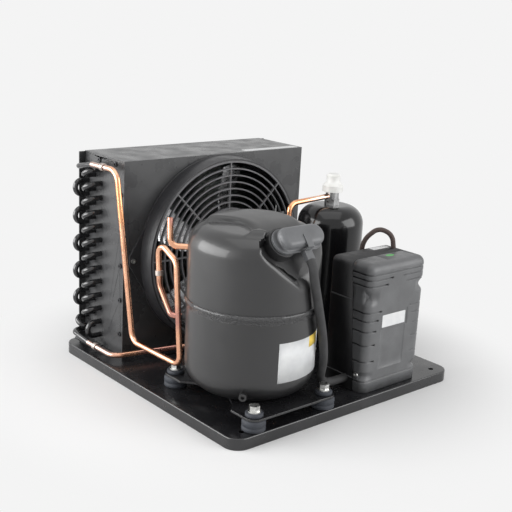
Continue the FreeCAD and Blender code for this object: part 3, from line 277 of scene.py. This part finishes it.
# Rubber mounts: blue-grey moulded rubber in two steps, with a groove where each one flexes.
# A steel sleeve runs through each, and a flanged bolt clamps it to the base.
def rubber(name, colour):
    """Dull moulded rubber with a pale bloom."""
    made, tree, shader, place = new_finish(name, colour, 0.7)
    bloom = mottle(tree, place, 60, 0.0, 0.7, 5.0)
    paler = tuple(c * 1.7 for c in colour)
    tree.links.new(two_colours(tree, bloom, colour, paler), shader.inputs["Base Color"])
    relief(tree, shader, mottle(tree, place, 700, 0, 1), 0.3, 0.0002)
    return made


def turned_form(profile, centre, steps=64):
    """A closed profile of radius and height pairs, turned round an upright axis."""
    form = bmesh.new()
    points = [form.verts.new((r, 0, z)) for r, z in profile]
    edges = [form.edges.new((points[i], points[(i + 1) % len(points)])) for i in range(len(points))]
    bmesh.ops.spin(form, geom=points + edges, cent=(0, 0, 0), axis=(0, 0, 1), angle=2 * math.pi,
                   steps=steps, use_merge=True)
    bmesh.ops.remove_doubles(form, verts=form.verts, dist=1e-7)
    bmesh.ops.recalc_face_normals(form, faces=form.faces)
    bmesh.ops.translate(form, vec=centre, verts=form.verts)
    return form


mount_rubber = rubber("mount_rubber", (0.026, 0.029, 0.036))
mount_low, mount_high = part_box("rubber_mounts")
mount_profile = [(0.0072, 0.0), (0.0172, 0.0), (0.0185, 0.0013), (0.0185, 0.0058), (0.0176, 0.0068),
                 (0.0176, 0.0082), (0.0185, 0.0092), (0.0185, 0.0150), (0.0172, 0.0178), (0.0150, 0.0189),
                 (0.0111, 0.0189), (0.0109, 0.0190), (0.0109, 0.0224), (0.0136, 0.0226), (0.0140, 0.0232),
                 (0.0140, 0.0270), (0.0128, 0.0284), (0.0072, 0.0285)]
mount_reach = max(reach for reach, level in mount_profile)
mount_places = [(x, y) for x in (mount_low.x + mount_reach, mount_high.x - mount_reach)
                for y in (mount_low.y + mount_reach, mount_high.y - mount_reach)]
for number, (x, y) in enumerate(mount_places, 1):
    mount = show(turned_form(mount_profile, (x, y, mount_low.z)), "rubber_mount_%d" % number,
                 mount_rubber, turn=50)
    if number == 1:
        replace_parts(mount, "rubber_mounts")


def plated_steel(name, colour, rough):
    """Bright plated steel with faint spots and a fine turned grain."""
    made, tree, shader, place = new_finish(name, colour, rough, 1.0)
    spots = mottle(tree, place, 260, 0.0, 1.0, 5.0)
    dulled = tuple(c * 0.72 for c in colour)
    tree.links.new(two_colours(tree, spots, colour, dulled), shader.inputs["Base Color"])
    tree.links.new(mottle(tree, place, 120, rough - 0.08, rough + 0.12), shader.inputs["Roughness"])
    relief(tree, shader, mottle(tree, stretched(tree, place, (1, 1, 6)), 900, 0, 1), 0.1, 0.0001)
    return made


zinc = plated_steel("zinc_plate", (0.66, 0.66, 0.64), 0.3)
smooth_node("mount_sleeves", zinc)
smooth_node("mount_bolts", zinc, edge_round=0.0004)
smooth_node("mount_nuts", zinc, edge_round=0.0004)


# Compressor shell: two deep-drawn steel halves joined by a weld bead, sprayed gloss black.
# The dome has a low plateau, and a flat facet for the terminals.
def gloss_paint(name, colour, rough, coat, grain=0.12, sheen_level=0.5, waves=(160, 2.0, 0.00025)):
    """Thick gloss paint with a clear skin; waves are the relief's scale, detail and depth."""
    made, tree, shader, place = new_finish(name, colour, rough)
    dust = mottle(tree, place, 14, 0.0, 0.5, 7.0)
    dusty = tuple(c * 2.0 for c in colour)
    tree.links.new(two_colours(tree, dust, colour, dusty), shader.inputs["Base Color"])
    tree.links.new(mottle(tree, place, 22, rough - 0.04, rough + 0.06, 5.0), shader.inputs["Roughness"])
    shader.inputs["Specular IOR Level"].default_value = sheen_level
    shader.inputs["Coat Weight"].default_value = coat
    shader.inputs["Coat Roughness"].default_value = 0.05
    relief(tree, shader, mottle(tree, place, waves[0], 0, 1, waves[1]), grain, waves[2])
    return made


shell_black = gloss_paint("shell_black", (0.005, 0.005, 0.0055), 0.43, 0.35, 0.05, 0.65)
smooth_node("lower_shell", shell_black, turn=28)
smooth_node("discharge_stub", shell_black)
shell_axis = Vector((-0.1275, -0.132, 0))
shell_reach = 0.105
seam_level, shoulder_level, crown_level = 0.185, 0.3055, 0.314
crown_reach, shoulder_bend, crown_bend = 0.078, 0.033, 0.009
lobe_place, lobe_reach, lobe_crease = Vector((-0.065, 0.001)), 0.048, 0.003
facet_place, facet_way, facet_left = Vector((0, -0.105, 0.232)), Vector((0, -0.7660, 0.6428)), -0.056
facet_up = Vector((0, 0.6428, 0.7660))
brow_place, brow_way = Vector((0, 0.003, 0.3125)), Vector((0, -0.2079, 0.9781))
# How softly the lobe, the crown, the brow, the facet's side and the facet run into their neighbours
lobe_ease, crown_ease, brow_ease, side_ease, facet_ease = 0.010, 0.006, 0.030, 0.014, 0.010
# The crease along the lobe: its width, and where it dies out towards the wall and the front
crease_width, crease_wall, crease_front = 0.0045, (0.100, 0.012), (-0.040, 0.015)
# The facet's left side steps in from this level, over this height, by this much
step_level, step_height, step_in = 0.284, 0.022, 0.026
# The shell swells over the facet's lower left corner, beyond a slanting line
swell_across, swell_up, swell_slope = (-0.806, -0.050), (-0.592, 0.073), 0.9


def clamped(share):
    """A share held between nothing and one."""
    return min(max(share, 0), 1)


def eased_max(a, b, soft):
    """The larger of two distances, with the crease between them rounded."""
    share = max(soft - abs(a - b), 0) / soft
    return max(a, b) + share * share * soft / 4


def round_topped(across, level, reach, top, bend):
    """Distance outside a round-edged drum, from how far out and how high a place is."""
    out, up = across - reach + bend, level - top + bend
    return min(max(out, up), 0) + math.hypot(max(out, 0), max(up, 0)) - bend


def beyond_shell(place):
    """Distance outside the pressed upper half: shoulder, crown, front lobe and terminal facet."""
    across = math.hypot(place.x, place.y)
    lobe = lobe_reach - math.hypot(place.x - lobe_place.x, place.y - lobe_place.y)
    crown = eased_max(round_topped(across, place.z, crown_reach, crown_level, crown_bend), lobe, lobe_ease)
    drum = round_topped(across, place.z, shell_reach, shoulder_level, shoulder_bend)
    creased = clamped((crease_wall[0] - across) / crease_wall[1])
    creased *= clamped((place.y - crease_front[0]) / crease_front[1])
    drum += lobe_crease * creased * math.exp(-(lobe / crease_width) ** 2)
    drum = -eased_max(-drum, -crown, crown_ease)
    climb = clamped((place.z - step_level) / step_height)
    left = place.x - facet_left - step_in * climb * climb * (3 - 2 * climb)
    up_slope = (place - facet_place).dot(facet_up)
    swell = max(swell_across[0] * (place.x - swell_across[1]) + swell_up[0] * (up_slope - swell_up[1]), 0)
    flat = (place - facet_place).dot(facet_way) - swell_slope * swell
    facet = eased_max(flat, (place - brow_place).dot(brow_way), brow_ease)
    facet = -eased_max(-facet, -left, side_ease)
    return eased_max(drum, facet, facet_ease)


def thicken(piece, name, depth, way=-1):
    """Gives a surface its thickness, inwards, or outwards where way is 1."""
    wall = piece.modifiers.new(name, "SOLIDIFY")
    wall.thickness = depth
    wall.offset = way


arc_steps, round_steps = 104, 200
shell_top = bmesh.new()
arc = [shell_top.verts.new((math.cos(math.radians(turn)), 0, math.sin(math.radians(turn))))
       for turn in (90 * step / arc_steps for step in range(arc_steps + 1))]
arc_edges = [shell_top.edges.new(arc[i:i + 2]) for i in range(arc_steps)]
bmesh.ops.spin(shell_top, geom=arc + arc_edges, cent=(0, 0, 0), axis=(0, 0, 1), angle=2 * math.pi,
               steps=round_steps, use_merge=True)
bmesh.ops.remove_doubles(shell_top, verts=shell_top.verts, dist=1e-5)
# Each corner moves along its ray from the seam's middle until it meets the surface
shell_heart = Vector((0, 0, seam_level))
for corner in shell_top.verts:
    way = corner.co.normalized()
    near, far = 0.03, 0.17
    for halving in range(17):
        middle = (near + far) / 2
        if beyond_shell(shell_heart + way * middle) > 0:
            far = middle
        else:
            near = middle
    corner.co = shell_heart + way * near + shell_axis
bmesh.ops.recalc_face_normals(shell_top, faces=shell_top.faces)
if max(shell_top.faces, key=lambda face: face.calc_center_median().z).normal.z < 0:
    bmesh.ops.reverse_faces(shell_top, faces=shell_top.faces)
upper_shell = show(shell_top, "upper_shell_skin", shell_black, turn=80)
thicken(upper_shell, "wall", 0.003)
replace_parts(upper_shell, "upper_shell")

# Weld: the bead that joins the shell halves, over the lower half's turned-in rim. It is laid in
# one pass, a little unevenly, and painted over.
weld_black = gloss_paint("weld_black", (0.012, 0.012, 0.013), 0.3, 0.6, 0.9, waves=(380, 4.0, 0.0011))
weld_profile = [(0.1040, 0.1755), (0.1053, 0.1755), (0.1059, 0.1775), (0.1062, 0.1812), (0.1073, 0.1828),
                (0.1080, 0.1855), (0.1077, 0.1882), (0.1068, 0.1897), (0.1054, 0.1902), (0.1040, 0.1902)]
weld_form = turned_form(weld_profile, shell_axis, steps=160)
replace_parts(show(weld_form, "weld_bead", weld_black, turn=70), "weld_band")


# Blank plate on the compressor's front: thin pale film with a yellow patch at its upper corner,
# stuck round the shell. Nothing is printed on either.
def clouded(name, first, second, scale, rough, metal=0.0, detail=3.0):
    """A plain finish that drifts softly between two colours."""
    made, tree, shader, place = new_finish(name, first, rough, metal)
    clouds = mottle(tree, place, scale, 0, 1, detail)
    tree.links.new(two_colours(tree, clouds, first, second), shader.inputs["Base Color"])
    return made, tree, shader, place


def wrapped_film(name, finish, radius, start, turn, levels, steps, depth):
    """A thin film round the shell's front; the angles count from its front, in degrees."""
    film = bmesh.new()
    first = math.radians(start)
    ends = [film.verts.new((radius * math.sin(first), -radius * math.cos(first), level)) for level in levels]
    edge = film.edges.new(ends)
    bmesh.ops.spin(film, geom=ends + [edge], cent=(0, 0, 0), axis=(0, 0, 1), angle=math.radians(turn),
                   steps=steps)
    bmesh.ops.recalc_face_normals(film, faces=film.faces)
    if film.faces[0].normal.y > 0:
        bmesh.ops.reverse_faces(film, faces=film.faces)
    bmesh.ops.translate(film, vec=shell_axis, verts=film.verts)
    thicken(show(film, name, finish), "thickness", depth, 1)


film_silver = clouded("blank_film", (0.60, 0.61, 0.62), (0.70, 0.71, 0.71), 40, 0.35)[0]
patch_yellow = clouded("patch_yellow", (0.86, 0.62, 0.10), (0.80, 0.58, 0.12), 50, 0.4)[0]
wrapped_film("blank_film", film_silver, 0.10508, -16.5, 57.5, (0.082, 0.146), 28, 0.00012)
wrapped_film("colour_patch", patch_yellow, 0.10525, 18, 17, (0.128, 0.146), 10, 0.0001)

# Pump and motor: cast iron, turned steel, stacked sheet and copper wire, hung on four springs
# in the sealed shell.
bare_steel = plated_steel("bare_steel", (0.5, 0.5, 0.5), 0.32)
stack_steel = plated_steel("stack_steel", (0.3, 0.3, 0.31), 0.42)
cast_iron, iron_tree, iron_shader, iron_place = clouded("cast_iron", (0.16, 0.16, 0.16), (0.26, 0.255, 0.25),
                                                        90, 0.6, 0.8, 6.0)
relief(iron_tree, iron_shader, mottle(iron_tree, iron_place, 500, 0, 1), 0.4, 0.0003)
rod_alloy = plated_steel("rod_alloy", (0.7, 0.7, 0.7), 0.38)
for node in ("cylinder_block", "cylinder_head"):
    dress(node, cast_iron)
for node in ("valve_plate", "suspension_springs", "hermetic_terminal"):
    dress(node, bare_steel)
dress("stator_core", stack_steel)
smooth_node("piston", cast_iron, body="piston")
smooth_node("piston_pin", bare_steel, body="piston")
smooth_node("connecting_rod", rod_alloy, body="piston")
smooth_node("motor_rotor", stack_steel, body="crank")
smooth_node("crankshaft", bare_steel, body="crank")


# Terminal cover: a grey moulded cap on a black collar, with a sprung wire strap and a latch
# that grips the lead.
def moulded(name, colour, rough):
    """Moulded plastic with a fine spark-eroded grain."""
    made, tree, shader, place = new_finish(name, colour, rough)
    patches = mottle(tree, place, 35, 0.0, 0.7, 4.0)
    worn = tuple(c * 1.35 for c in colour)
    tree.links.new(two_colours(tree, patches, colour, worn), shader.inputs["Base Color"])
    tree.links.new(mottle(tree, place, 80, rough - 0.05, rough + 0.08), shader.inputs["Roughness"])
    relief(tree, shader, mottle(tree, place, 1300, 0, 1), 0.22, 0.00015)
    return made


def round_edges(form, edges, radius, segments, clamp=False):
    """Rounds edges of a form; clamp holds the radius where they meet."""
    bmesh.ops.bevel(form, geom=edges, offset=radius, segments=segments, profile=0.5, clamp_overlap=clamp,
                    affect="EDGES", material=-1)


black_plastic = moulded("black_plastic", (0.02, 0.02, 0.021), 0.42)
grey_plastic = moulded("grey_plastic", (0.11, 0.113, 0.118), 0.38)
smooth_node("overload_protector", black_plastic)
smooth_node("terminal_fence", black_plastic, edge_round=0.0005)
facet_turn = Matrix(((1, 0, 0), (0, facet_up.y, facet_way.y), (0, facet_up.z, facet_way.z))).to_4x4()
facet_seat = Matrix.Translation(shell_axis + facet_place) @ facet_turn
# The skirt's outline in mm, across and up the facet
skirt_outline = [(-47, 74), (-46, 64), (-42, 51), (-37, 43), (-27, 37), (-19, 31), (-14, 23), (-8, 18),
                 (-1, 10), (9, 22), (24, 35), (34, 46), (30, 66), (24, 84), (8, 98), (-6, 97), (-20, 91),
                 (-33, 83)]
skirt = bmesh.new()
skirt_face = skirt.faces.new([skirt.verts.new((x / 1000, up / 1000, 0.0001)) for x, up in skirt_outline])
raised = bmesh.ops.extrude_face_region(skirt, geom=[skirt_face])["geom"]
bmesh.ops.translate(skirt, vec=(0, 0, 0.0035),
                    verts=[part for part in raised if isinstance(part, bmesh.types.BMVert)])
bmesh.ops.recalc_face_normals(skirt, faces=skirt.faces)
bmesh.ops.transform(skirt, matrix=facet_seat, verts=skirt.verts)
show(skirt, "fence_skirt", black_plastic, edge_round=0.0008)
# The cap is a disc drawn out sideways, with a flange round its foot and a softly rounded top
cap_reach, cap_run = 0.0205, 0.054
cap_flange, cap_step, cap_rise, cap_round = 0.0042, 0.0030, 0.0158, 0.0080
cap_middle, cap_foot = (-0.0145, 0.0665), 0.0200
cap = bmesh.new()
bmesh.ops.create_cone(cap, cap_ends=True, segments=56, radius1=cap_reach, radius2=cap_reach, depth=cap_flange)
bmesh.ops.translate(cap, vec=(0, 0, cap_flange / 2), verts=cap.verts)
bmesh.ops.translate(cap, vec=(cap_run, 0, 0), verts=[corner for corner in cap.verts if corner.co.x > 0])
cap_top = max(cap.faces, key=lambda face: face.calc_center_median().z)
bmesh.ops.inset_region(cap, faces=[cap_top], thickness=cap_step, use_even_offset=True)
bmesh.ops.scale(cap, vec=(0.74, 1, 1), verts=[corner for corner in cap_top.verts if corner.co.x < 0])
raised = bmesh.ops.extrude_face_region(cap, geom=[cap_top])["geom"]
cap_rim = [part for part in raised if isinstance(part, bmesh.types.BMVert)]
bmesh.ops.translate(cap, vec=(0, 0, cap_rise), verts=cap_rim)
round_edges(cap, [part for part in raised if isinstance(part, bmesh.types.BMEdge)], cap_round, 8, clamp=True)
bmesh.ops.recalc_face_normals(cap, faces=cap.faces)
bmesh.ops.translate(cap, vec=(*cap_middle, cap_foot), verts=cap.verts)
bmesh.ops.transform(cap, matrix=facet_seat, verts=cap.verts)
terminal_cover = show(cap, "terminal_cover_skin", grey_plastic, edge_round=0.0005)
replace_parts(terminal_cover, "terminal_cover")
smooth_node("cover_clip", grey_plastic, edge_round=0.0004)
smooth_node("lead_latch", grey_plastic, edge_round=0.0008)

# Leads: round rubber-jacketed cable from the terminals to the control box, and a shorter one
# over the top of the box.
jacket = rubber("lead_jacket", (0.030, 0.030, 0.031))
jumper_jacket = rubber("jumper_jacket", (0.05, 0.034, 0.03))
smooth_node("compressor_lead", jacket, turn=60)
smooth_node("jumper_lead", jumper_jacket, turn=60)


# Copper lines: drawn tube, bent by hand, tarnished by the torch near each brazed joint.
def copper_tube(name, tints=()):
    """Drawn copper; tints are the places, reaches and colours of the heat marks."""
    bright, brown = (0.90, 0.50, 0.33), (0.70, 0.34, 0.20)
    made, tree, shader, place = new_finish(name, bright, 0.26, 1.0)
    colour = two_colours(tree, mottle(tree, place, 34, 0.0, 0.75, 3.0), bright, brown)
    for centre, reach, tint in tints:
        far = tree.nodes.new("ShaderNodeVectorMath")
        far.operation = "DISTANCE"
        far.inputs[1].default_value = centre
        tree.links.new(place, far.inputs[0])
        fade = tree.nodes.new("ShaderNodeMapRange")
        fade.inputs["From Min"].default_value = reach * 0.55
        fade.inputs["From Max"].default_value = reach
        fade.inputs["To Min"].default_value = 0.75
        fade.inputs["To Max"].default_value = 0.0
        tree.links.new(far.outputs["Value"], fade.inputs["Value"])
        colour = two_colours(tree, fade.outputs["Result"], colour, tint)
    tree.links.new(colour, shader.inputs["Base Color"])
    tree.links.new(mottle(tree, place, 60, 0.2, 0.32), shader.inputs["Roughness"])
    relief(tree, shader, mottle(tree, place, 120, 0, 1), 0.06, 0.0002)
    return made


dark_tint, violet_tint = (0.24, 0.12, 0.09), (0.48, 0.22, 0.20)
orange_tint, pale_tint, grey_tint = (0.76, 0.35, 0.16), (0.86, 0.64, 0.52), (0.50, 0.42, 0.40)
discharge_copper = copper_tube("discharge_copper", [
    ((-0.235, 0.175, 0.354), 0.045, grey_tint), ((-0.219, 0.105, 0.30), 0.05, orange_tint),
    ((-0.216, -0.010, 0.165), 0.045, dark_tint), ((-0.205, -0.050, 0.145), 0.03, violet_tint)])
liquid_copper = copper_tube("liquid_copper", [
    ((-0.238, 0.160, 0.033), 0.07, grey_tint), ((-0.150, 0.085, 0.032), 0.05, violet_tint),
    ((0.060, -0.020, 0.295), 0.03, orange_tint), ((0.135, -0.020, 0.303), 0.05, pale_tint)])
plain_copper = copper_tube("plain_copper", [((-0.212, -0.043, 0.305), 0.02, violet_tint)])
braze_silver = plated_steel("braze_silver", (0.54, 0.47, 0.43), 0.42)
smooth_node("discharge_line", discharge_copper, turn=50)
smooth_node("liquid_line", liquid_copper, turn=50)
smooth_node("suction_stub", plain_copper, turn=50)
dress("dip_tube", plain_copper)
dress("stator_windings", copper_tube("copper_wire"))
smooth_node("pipe_joints", braze_silver, edge_round=0.0008)

# Condenser: copper hairpins through thin aluminium fins, held by two sheet steel end plates.
# The bends at the ends are painted with the unit.
end_black = gloss_paint("end_black", (0.008, 0.008, 0.009), 0.2, 0.6)
smooth_node("coil_tubes", end_black, turn=50)
smooth_node("return_bends", end_black, turn=50)
smooth_node("coil_stubs", end_black, turn=50)
fin_bright, fin_tree, fin_shader, fin_place = clouded("fin_bright", (0.68, 0.69, 0.70), (0.60, 0.61, 0.61),
                                                      90, 0.34, 1.0)
fin_grain = stretched(fin_tree, fin_place, (1, 1, 8))
relief(fin_tree, fin_shader, mottle(fin_tree, fin_grain, 220, 0, 1), 0.25, 0.0002)


def block(low, high):
    """A rectangular form between two corners."""
    form = bmesh.new()
    bmesh.ops.create_cube(form, size=1)
    bmesh.ops.scale(form, vec=tuple(b - a for a, b in zip(low, high)), verts=form.verts)
    bmesh.ops.translate(form, vec=tuple((a + b) / 2 for a, b in zip(low, high)), verts=form.verts)
    return form


# The first fin stands outside the left end plate, the last one outside the right
fin_low, fin_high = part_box("condenser_fins")
fin_pitch, fin_sheet = 0.0024, 0.00022
fin_first = fin_low.x - (fin_pitch + fin_sheet) / 2
fin_count = int((fin_high.x - fin_low.x + 2 * fin_pitch) / fin_pitch)
fin = block((fin_first, fin_low.y, fin_low.z), (fin_first + fin_sheet, fin_high.y, fin_high.z))
fin_pack = show(fin, "fin_pack", fin_bright)
fin_row = fin_pack.modifiers.new("row", "ARRAY")
fin_row.use_relative_offset = False
fin_row.use_constant_offset = True
fin_row.constant_offset_displace = (fin_pitch, 0, 0)
fin_row.count = fin_count
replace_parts(fin_pack, "condenser_fins")

# Cowl: folded sheet steel, painted satin black, screwed to the end plates along its sides.
cowl_black = satin_paint("cowl_black", (0.040, 0.0405, 0.042), (0.052, 0.053, 0.055), 0.29, 0.6)
smooth_node("end_plates", cowl_black, edge_round=0.0003)
smooth_node("fan_shroud", cowl_black, edge_round=0.0004)
screw_black = plated_steel("screw_black", (0.09, 0.09, 0.095), 0.38)
smooth_node("shroud_screws", screw_black, edge_round=0.0003)


# Blank strip of white film along the cowl's top edge, stuck on near its right end. Nothing is
# printed on it.
def film_piece(name, middle, size, body="unit"):
    """A flat piece of white film with rounded corners."""
    form = block([m - s / 2 for m, s in zip(middle, size)], [m + s / 2 for m, s in zip(middle, size)])
    thin = min(range(3), key=lambda i: size[i])
    corners = [edge for edge in form.edges if abs((edge.verts[0].co - edge.verts[1].co)[thin]) > size[thin] / 2]
    round_edges(form, corners, 0.0015, 3)
    show(form, name, film_white, body)


film_white = clouded("film_white", (0.72, 0.72, 0.72), (0.65, 0.66, 0.67), 50, 0.4)[0]
film_piece("cowl_film", (0.130, 0.1335, 0.36796), (0.132, 0.017, 0.0002))

# Fan: a moulded ring with two lugs on the cowl, a finger guard that carries the motor, and
# pressed aluminium blades behind the guard.
ring_black = moulded("ring_black", (0.022, 0.022, 0.024), 0.38)
guard_grey = moulded("guard_grey", (0.12, 0.12, 0.125), 0.36)
blade_bright, blade_tree, blade_shader, blade_place = new_finish("blade_bright", (0.60, 0.60, 0.61), 0.26, 1.0)
blade_grain = stretched(blade_tree, blade_place, (1, 1, 5))
blade_tree.links.new(mottle(blade_tree, blade_grain, 40, 0.2, 0.34), blade_shader.inputs["Roughness"])
relief(blade_tree, blade_shader, mottle(blade_tree, blade_place, 300, 0, 1), 0.05, 0.0001)
motor_black = satin_paint("motor_black", (0.02, 0.02, 0.022), (0.04, 0.04, 0.043), 0.4)
smooth_node("fan_ring", ring_black, edge_round=0.0004)
smooth_node("fan_guard", guard_grey, edge_round=0.0003)
smooth_node("fan_motor", motor_black, edge_round=0.0005)
smooth_node("fan_shaft", bare_steel, body="fan")
smooth_node("fan_blade", blade_bright, body="fan", turn=40)
smooth_node("ring_screws", zinc, edge_round=0.0003)

# Receiver: a drawn steel bottle with a welded ring foot, sprayed gloss black.
# Its dull steel service valve has a white plastic cap.
receiver_black = gloss_paint("receiver_black", (0.004, 0.004, 0.0045), 0.2, 0.3, 0.05, 0.3)
smooth_node("receiver_shell", receiver_black, turn=50)
smooth_node("receiver_foot", receiver_black, edge_round=0.0004)
valve_steel = plated_steel("valve_steel", (0.38, 0.38, 0.38), 0.34)
smooth_node("valve_body", valve_steel, edge_round=0.0005)
smooth_node("valve_spindle", bare_steel, body="spindle", edge_round=0.0003)
cap_white = clouded("cap_white", (0.82, 0.82, 0.80), (0.72, 0.72, 0.69), 60, 0.38)[0]
smooth_node("valve_cap", cap_white, body="cap", edge_round=0.0005)

# Control box: a black moulded back half with a dark grey cover lapped over it. It holds the
# start gear.
box_black = moulded("box_black", (0.010, 0.010, 0.011), 0.42)
cover_grey = moulded("cover_grey", (0.100, 0.102, 0.105), 0.38)
cover_low, cover_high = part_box("box_cover")
cover_middle = (cover_low.x + cover_high.x) / 2
cover_back, cover_round = -0.150, 0.013
groove_half, groove_depth = 0.0015, 0.0030
# Each groove's height, where its left run ends and where its right run starts
grooves = [(0.2225, 0.099, 0.099), (0.2135, 0.084, 0.110), (0.2030, 0.073, 0.121), (0.1583, 0.062, 0.133),
           (0.1438, 0.056, 0.139), (0.1257, 0.052, 0.142), (0.1020, 0.0515, 0.143), (0.0734, 0.052, 0.144),
           (0.0385, 0.099, 0.099)]
# Each scallop's height, half length and depth, on the left and on the right
scallops = [(0.1845, 0.016, 0.0095, 0.1915, 0.013, 0.0065), (0.0480, 0.009, 0.0050, 0.0480, 0.009, 0.0050)]
scallop_span, scallop_flat, scallop_lap = 0.026, 0.006, 0.0018
panel_low, panel_high, panel_depth = (0.0655, 0.057), (0.1250, 0.1255), 0.0005
# An upright slot beside the label, and two in the top
slot_middle, slot_half, slot_ends, slot_depth = 0.1271, 0.0006, (0.1267, 0.1531), 0.0014
top_slots, top_slot_half, top_slot_front = (0.0850, 0.1520), 0.0008, -0.2181
cover = block((cover_low.x, cover_low.y, cover_low.z), (cover_high.x, cover_back, cover_high.z))
rounded = [edge for edge in cover.edges
           if min(corner.co.y for corner in edge.verts) < cover_back - 0.01
           and max(corner.co.z for corner in edge.verts) > cover_high.z - 0.01]
round_edges(cover, rounded, cover_round, 7)


def cut_line(form, place, way, clear=False):
    """A line of new corners where a plane meets the form; what lies beyond may be cleared."""
    bmesh.ops.bisect_plane(form, geom=form.verts[:] + form.edges[:] + form.faces[:], dist=1e-6, plane_co=place,
                           plane_no=way, clear_outer=clear)


seam_lean, seam_foot = 0.0997, -0.2165
cut_line(cover, (0, seam_foot, cover_low.z), (0, 1, -seam_lean), clear=True)
cut_line(cover, (0, 0, cover_low.z + 0.0001), (0, 0, -1), clear=True)
levels = [level + step * groove_half for level, left, right in grooves
          for step in (-1.4, -1, -0.8, 0.8, 1, 1.4)]
levels += [scallop[side] + scallop[side + 1] * step / 6 for scallop in scallops for side in (0, 3)
           for step in range(-6, 7)]
levels += [panel_low[1] - 0.0006, panel_low[1], panel_high[1], panel_high[1] + 0.0006]
levels += [slot_ends[0] + 0.0001, slot_ends[1] - 0.0001]
for level in sorted(set(levels)):
    cut_line(cover, (0, 0, level), (0, 0, 1))
columns = [end + step for level, left, right in grooves if left < right for end, step in
           ((left, 0), (left, 0.0003), (left, 0.001), (right, 0), (right, -0.0003), (right, -0.001))]
columns += [panel_low[0] - 0.0006, panel_low[0], panel_high[0], panel_high[0] + 0.0006]
columns += [slot_middle + step for step in (-0.0009, -0.0005, 0.0005, 0.0009)] + [0.047, 0.151]
columns += [slot + step for slot in top_slots for step in (-0.0015, -0.0007, 0.0007, 0.0015)]
for column in sorted(set(columns)):
    cut_line(cover, (column, 0, 0), (1, 0, 0))
for depth in (-0.226, -0.2225, -0.218, -0.212, -0.206):
    cut_line(cover, (0, depth, 0), (0, 1, 0))
cover.normal_update()


def sunk(place):
    """How far the cover's face is sunk at a place."""
    amount = 0
    near_side = min(place.x - cover_low.x, cover_high.x - place.x)
    if place.z < cover_high.z - 0.004:
        for level, left, right in grooves:
            if abs(place.z - level) < groove_half * 0.85 and not left + 1e-5 <= place.x <= right - 1e-5:
                amount = groove_depth
        for scallop in scallops:
            level, half, depth = scallop[:3] if place.x < cover_middle else scallop[3:]
            if abs(place.z - level) < half and near_side < scallop_span:
                inward = 1 - clamped((near_side - scallop_flat) / 0.019)
                lapped = clamped((place.y + 0.226) / 0.004)
                rise = math.cos(math.pi * (place.z - level) / (2 * half)) ** 2
                amount = max(amount, rise * inward * (depth * (1 - lapped) + scallop_lap * lapped))
        on_panel = all(low - 1e-5 < at < high + 1e-5
                       for low, at, high in zip(panel_low, (place.x, place.z), panel_high))
        if on_panel:
            amount = panel_depth
        if abs(place.x - slot_middle) < slot_half and slot_ends[0] < place.z < slot_ends[1]:
            amount = slot_depth
    elif place.y > top_slot_front and min(abs(place.x - slot) for slot in top_slots) < top_slot_half:
        amount = slot_depth
    return amount


for corner in cover.verts:
    corner.co -= corner.normal * sunk(corner.co)
box_cover = show(cover, "box_cover_skin", cover_grey, body="cover", turn=40)
thicken(box_cover, "wall", 0.0018)
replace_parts(box_cover, "box_cover")

# Back half of the control box: a moulded shell with rounded corners, open to the front, and the
# lip round its mouth that the cover slides over. It stands on the base.
for name, low, high, bend, mouth, back in (
        ("box_shell_skin", (0.0306, -0.245, 0.0190), (0.1674, -0.1430, 0.2394), 0.011, (-0.2157, seam_lean),
         None),
        ("box_lip", (0.0330, -0.245, 0.0215), (0.1650, -0.1430, 0.2366), 0.009, (-0.2229, 0.0), -0.190)):
    half_box = block(low, high)
    rounded = [edge for edge in half_box.edges
               if max(corner.co.y for corner in edge.verts) > high[1] - 0.01
               and max(corner.co.z for corner in edge.verts) > high[2] - 0.01]
    round_edges(half_box, rounded, bend, 6)
    cut_line(half_box, (0, mouth[0], cover_low.z), (0, -1, mouth[1]), clear=True)
    if back is not None:
        cut_line(half_box, (0, back, 0), (0, 1, 0), clear=True)
    skin = show(half_box, name, box_black, turn=40)
    thicken(skin, "wall", 0.0022)
    if back is None:
        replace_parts(skin, "box_shell")

# Small black discs at the ends of the cover's grooves, painted shade that stands for the dark pits there, and
# two ledges moulded on the left side of the box's back half.
pit_shade_discs = bmesh.new()
for level, left, right in grooves:
    if left < right:
        seat = Matrix.Translation((left + 0.0008, cover_low.y + 0.0003, level))
        seat = seat @ Matrix.Rotation(math.pi / 2, 4, "X")
        bmesh.ops.create_cone(pit_shade_discs, cap_ends=True, segments=20, radius1=0.0017, radius2=0.0017, depth=0.0009,
                              matrix=seat)
show(pit_shade_discs, "vent_pit_shade", box_black, body="cover")
for name, low, high in (("upper_ledge", (0.0297, -0.2000, 0.1735), (0.0325, -0.1500, 0.1757)),
                        ("lower_ledge", (0.0297, -0.2130, 0.0405), (0.0325, -0.1500, 0.0422))):
    ledge = block(low, high)
    round_edges(ledge, ledge.edges[:], 0.0004, 2)
    show(ledge, name, cover_grey)

# Blank films on the box: a white one on its front, a small one on the back half's top and a plain
# green oval on the cover's top. The rest of the section fixes the box and fills it.
film_piece("front_film", (0.0948, cover_low.y - 0.0001, 0.1400), (0.0565, 0.0003, 0.0215), "cover")
film_piece("back_film", (0.132, -0.1600, 0.23946), (0.040, 0.012, 0.0003))
oval_green = clouded("oval_green", (0.10, 0.42, 0.12), (0.16, 0.50, 0.16), 80, 0.4)[0]
oval = bmesh.new()
bmesh.ops.create_cone(oval, cap_ends=True, segments=40, radius1=1, radius2=1, depth=1)
bmesh.ops.scale(oval, vec=(0.0092, 0.0046, 0.0003), verts=oval.verts)
bmesh.ops.translate(oval, vec=(0.1095, -0.2040, cover_high.z + 0.0001), verts=oval.verts)
show(oval, "green_oval", oval_green, body="cover")
smooth_node("box_screw", zinc, body="cover")
smooth_node("base_screws", zinc, edge_round=0.0003)
dress("start_capacitor", black_plastic)
dress("start_relay", black_plastic)
dress("run_capacitor", rod_alloy)
dress("terminal_block", cap_white)

scene.view_settings.view_transform = "Standard"
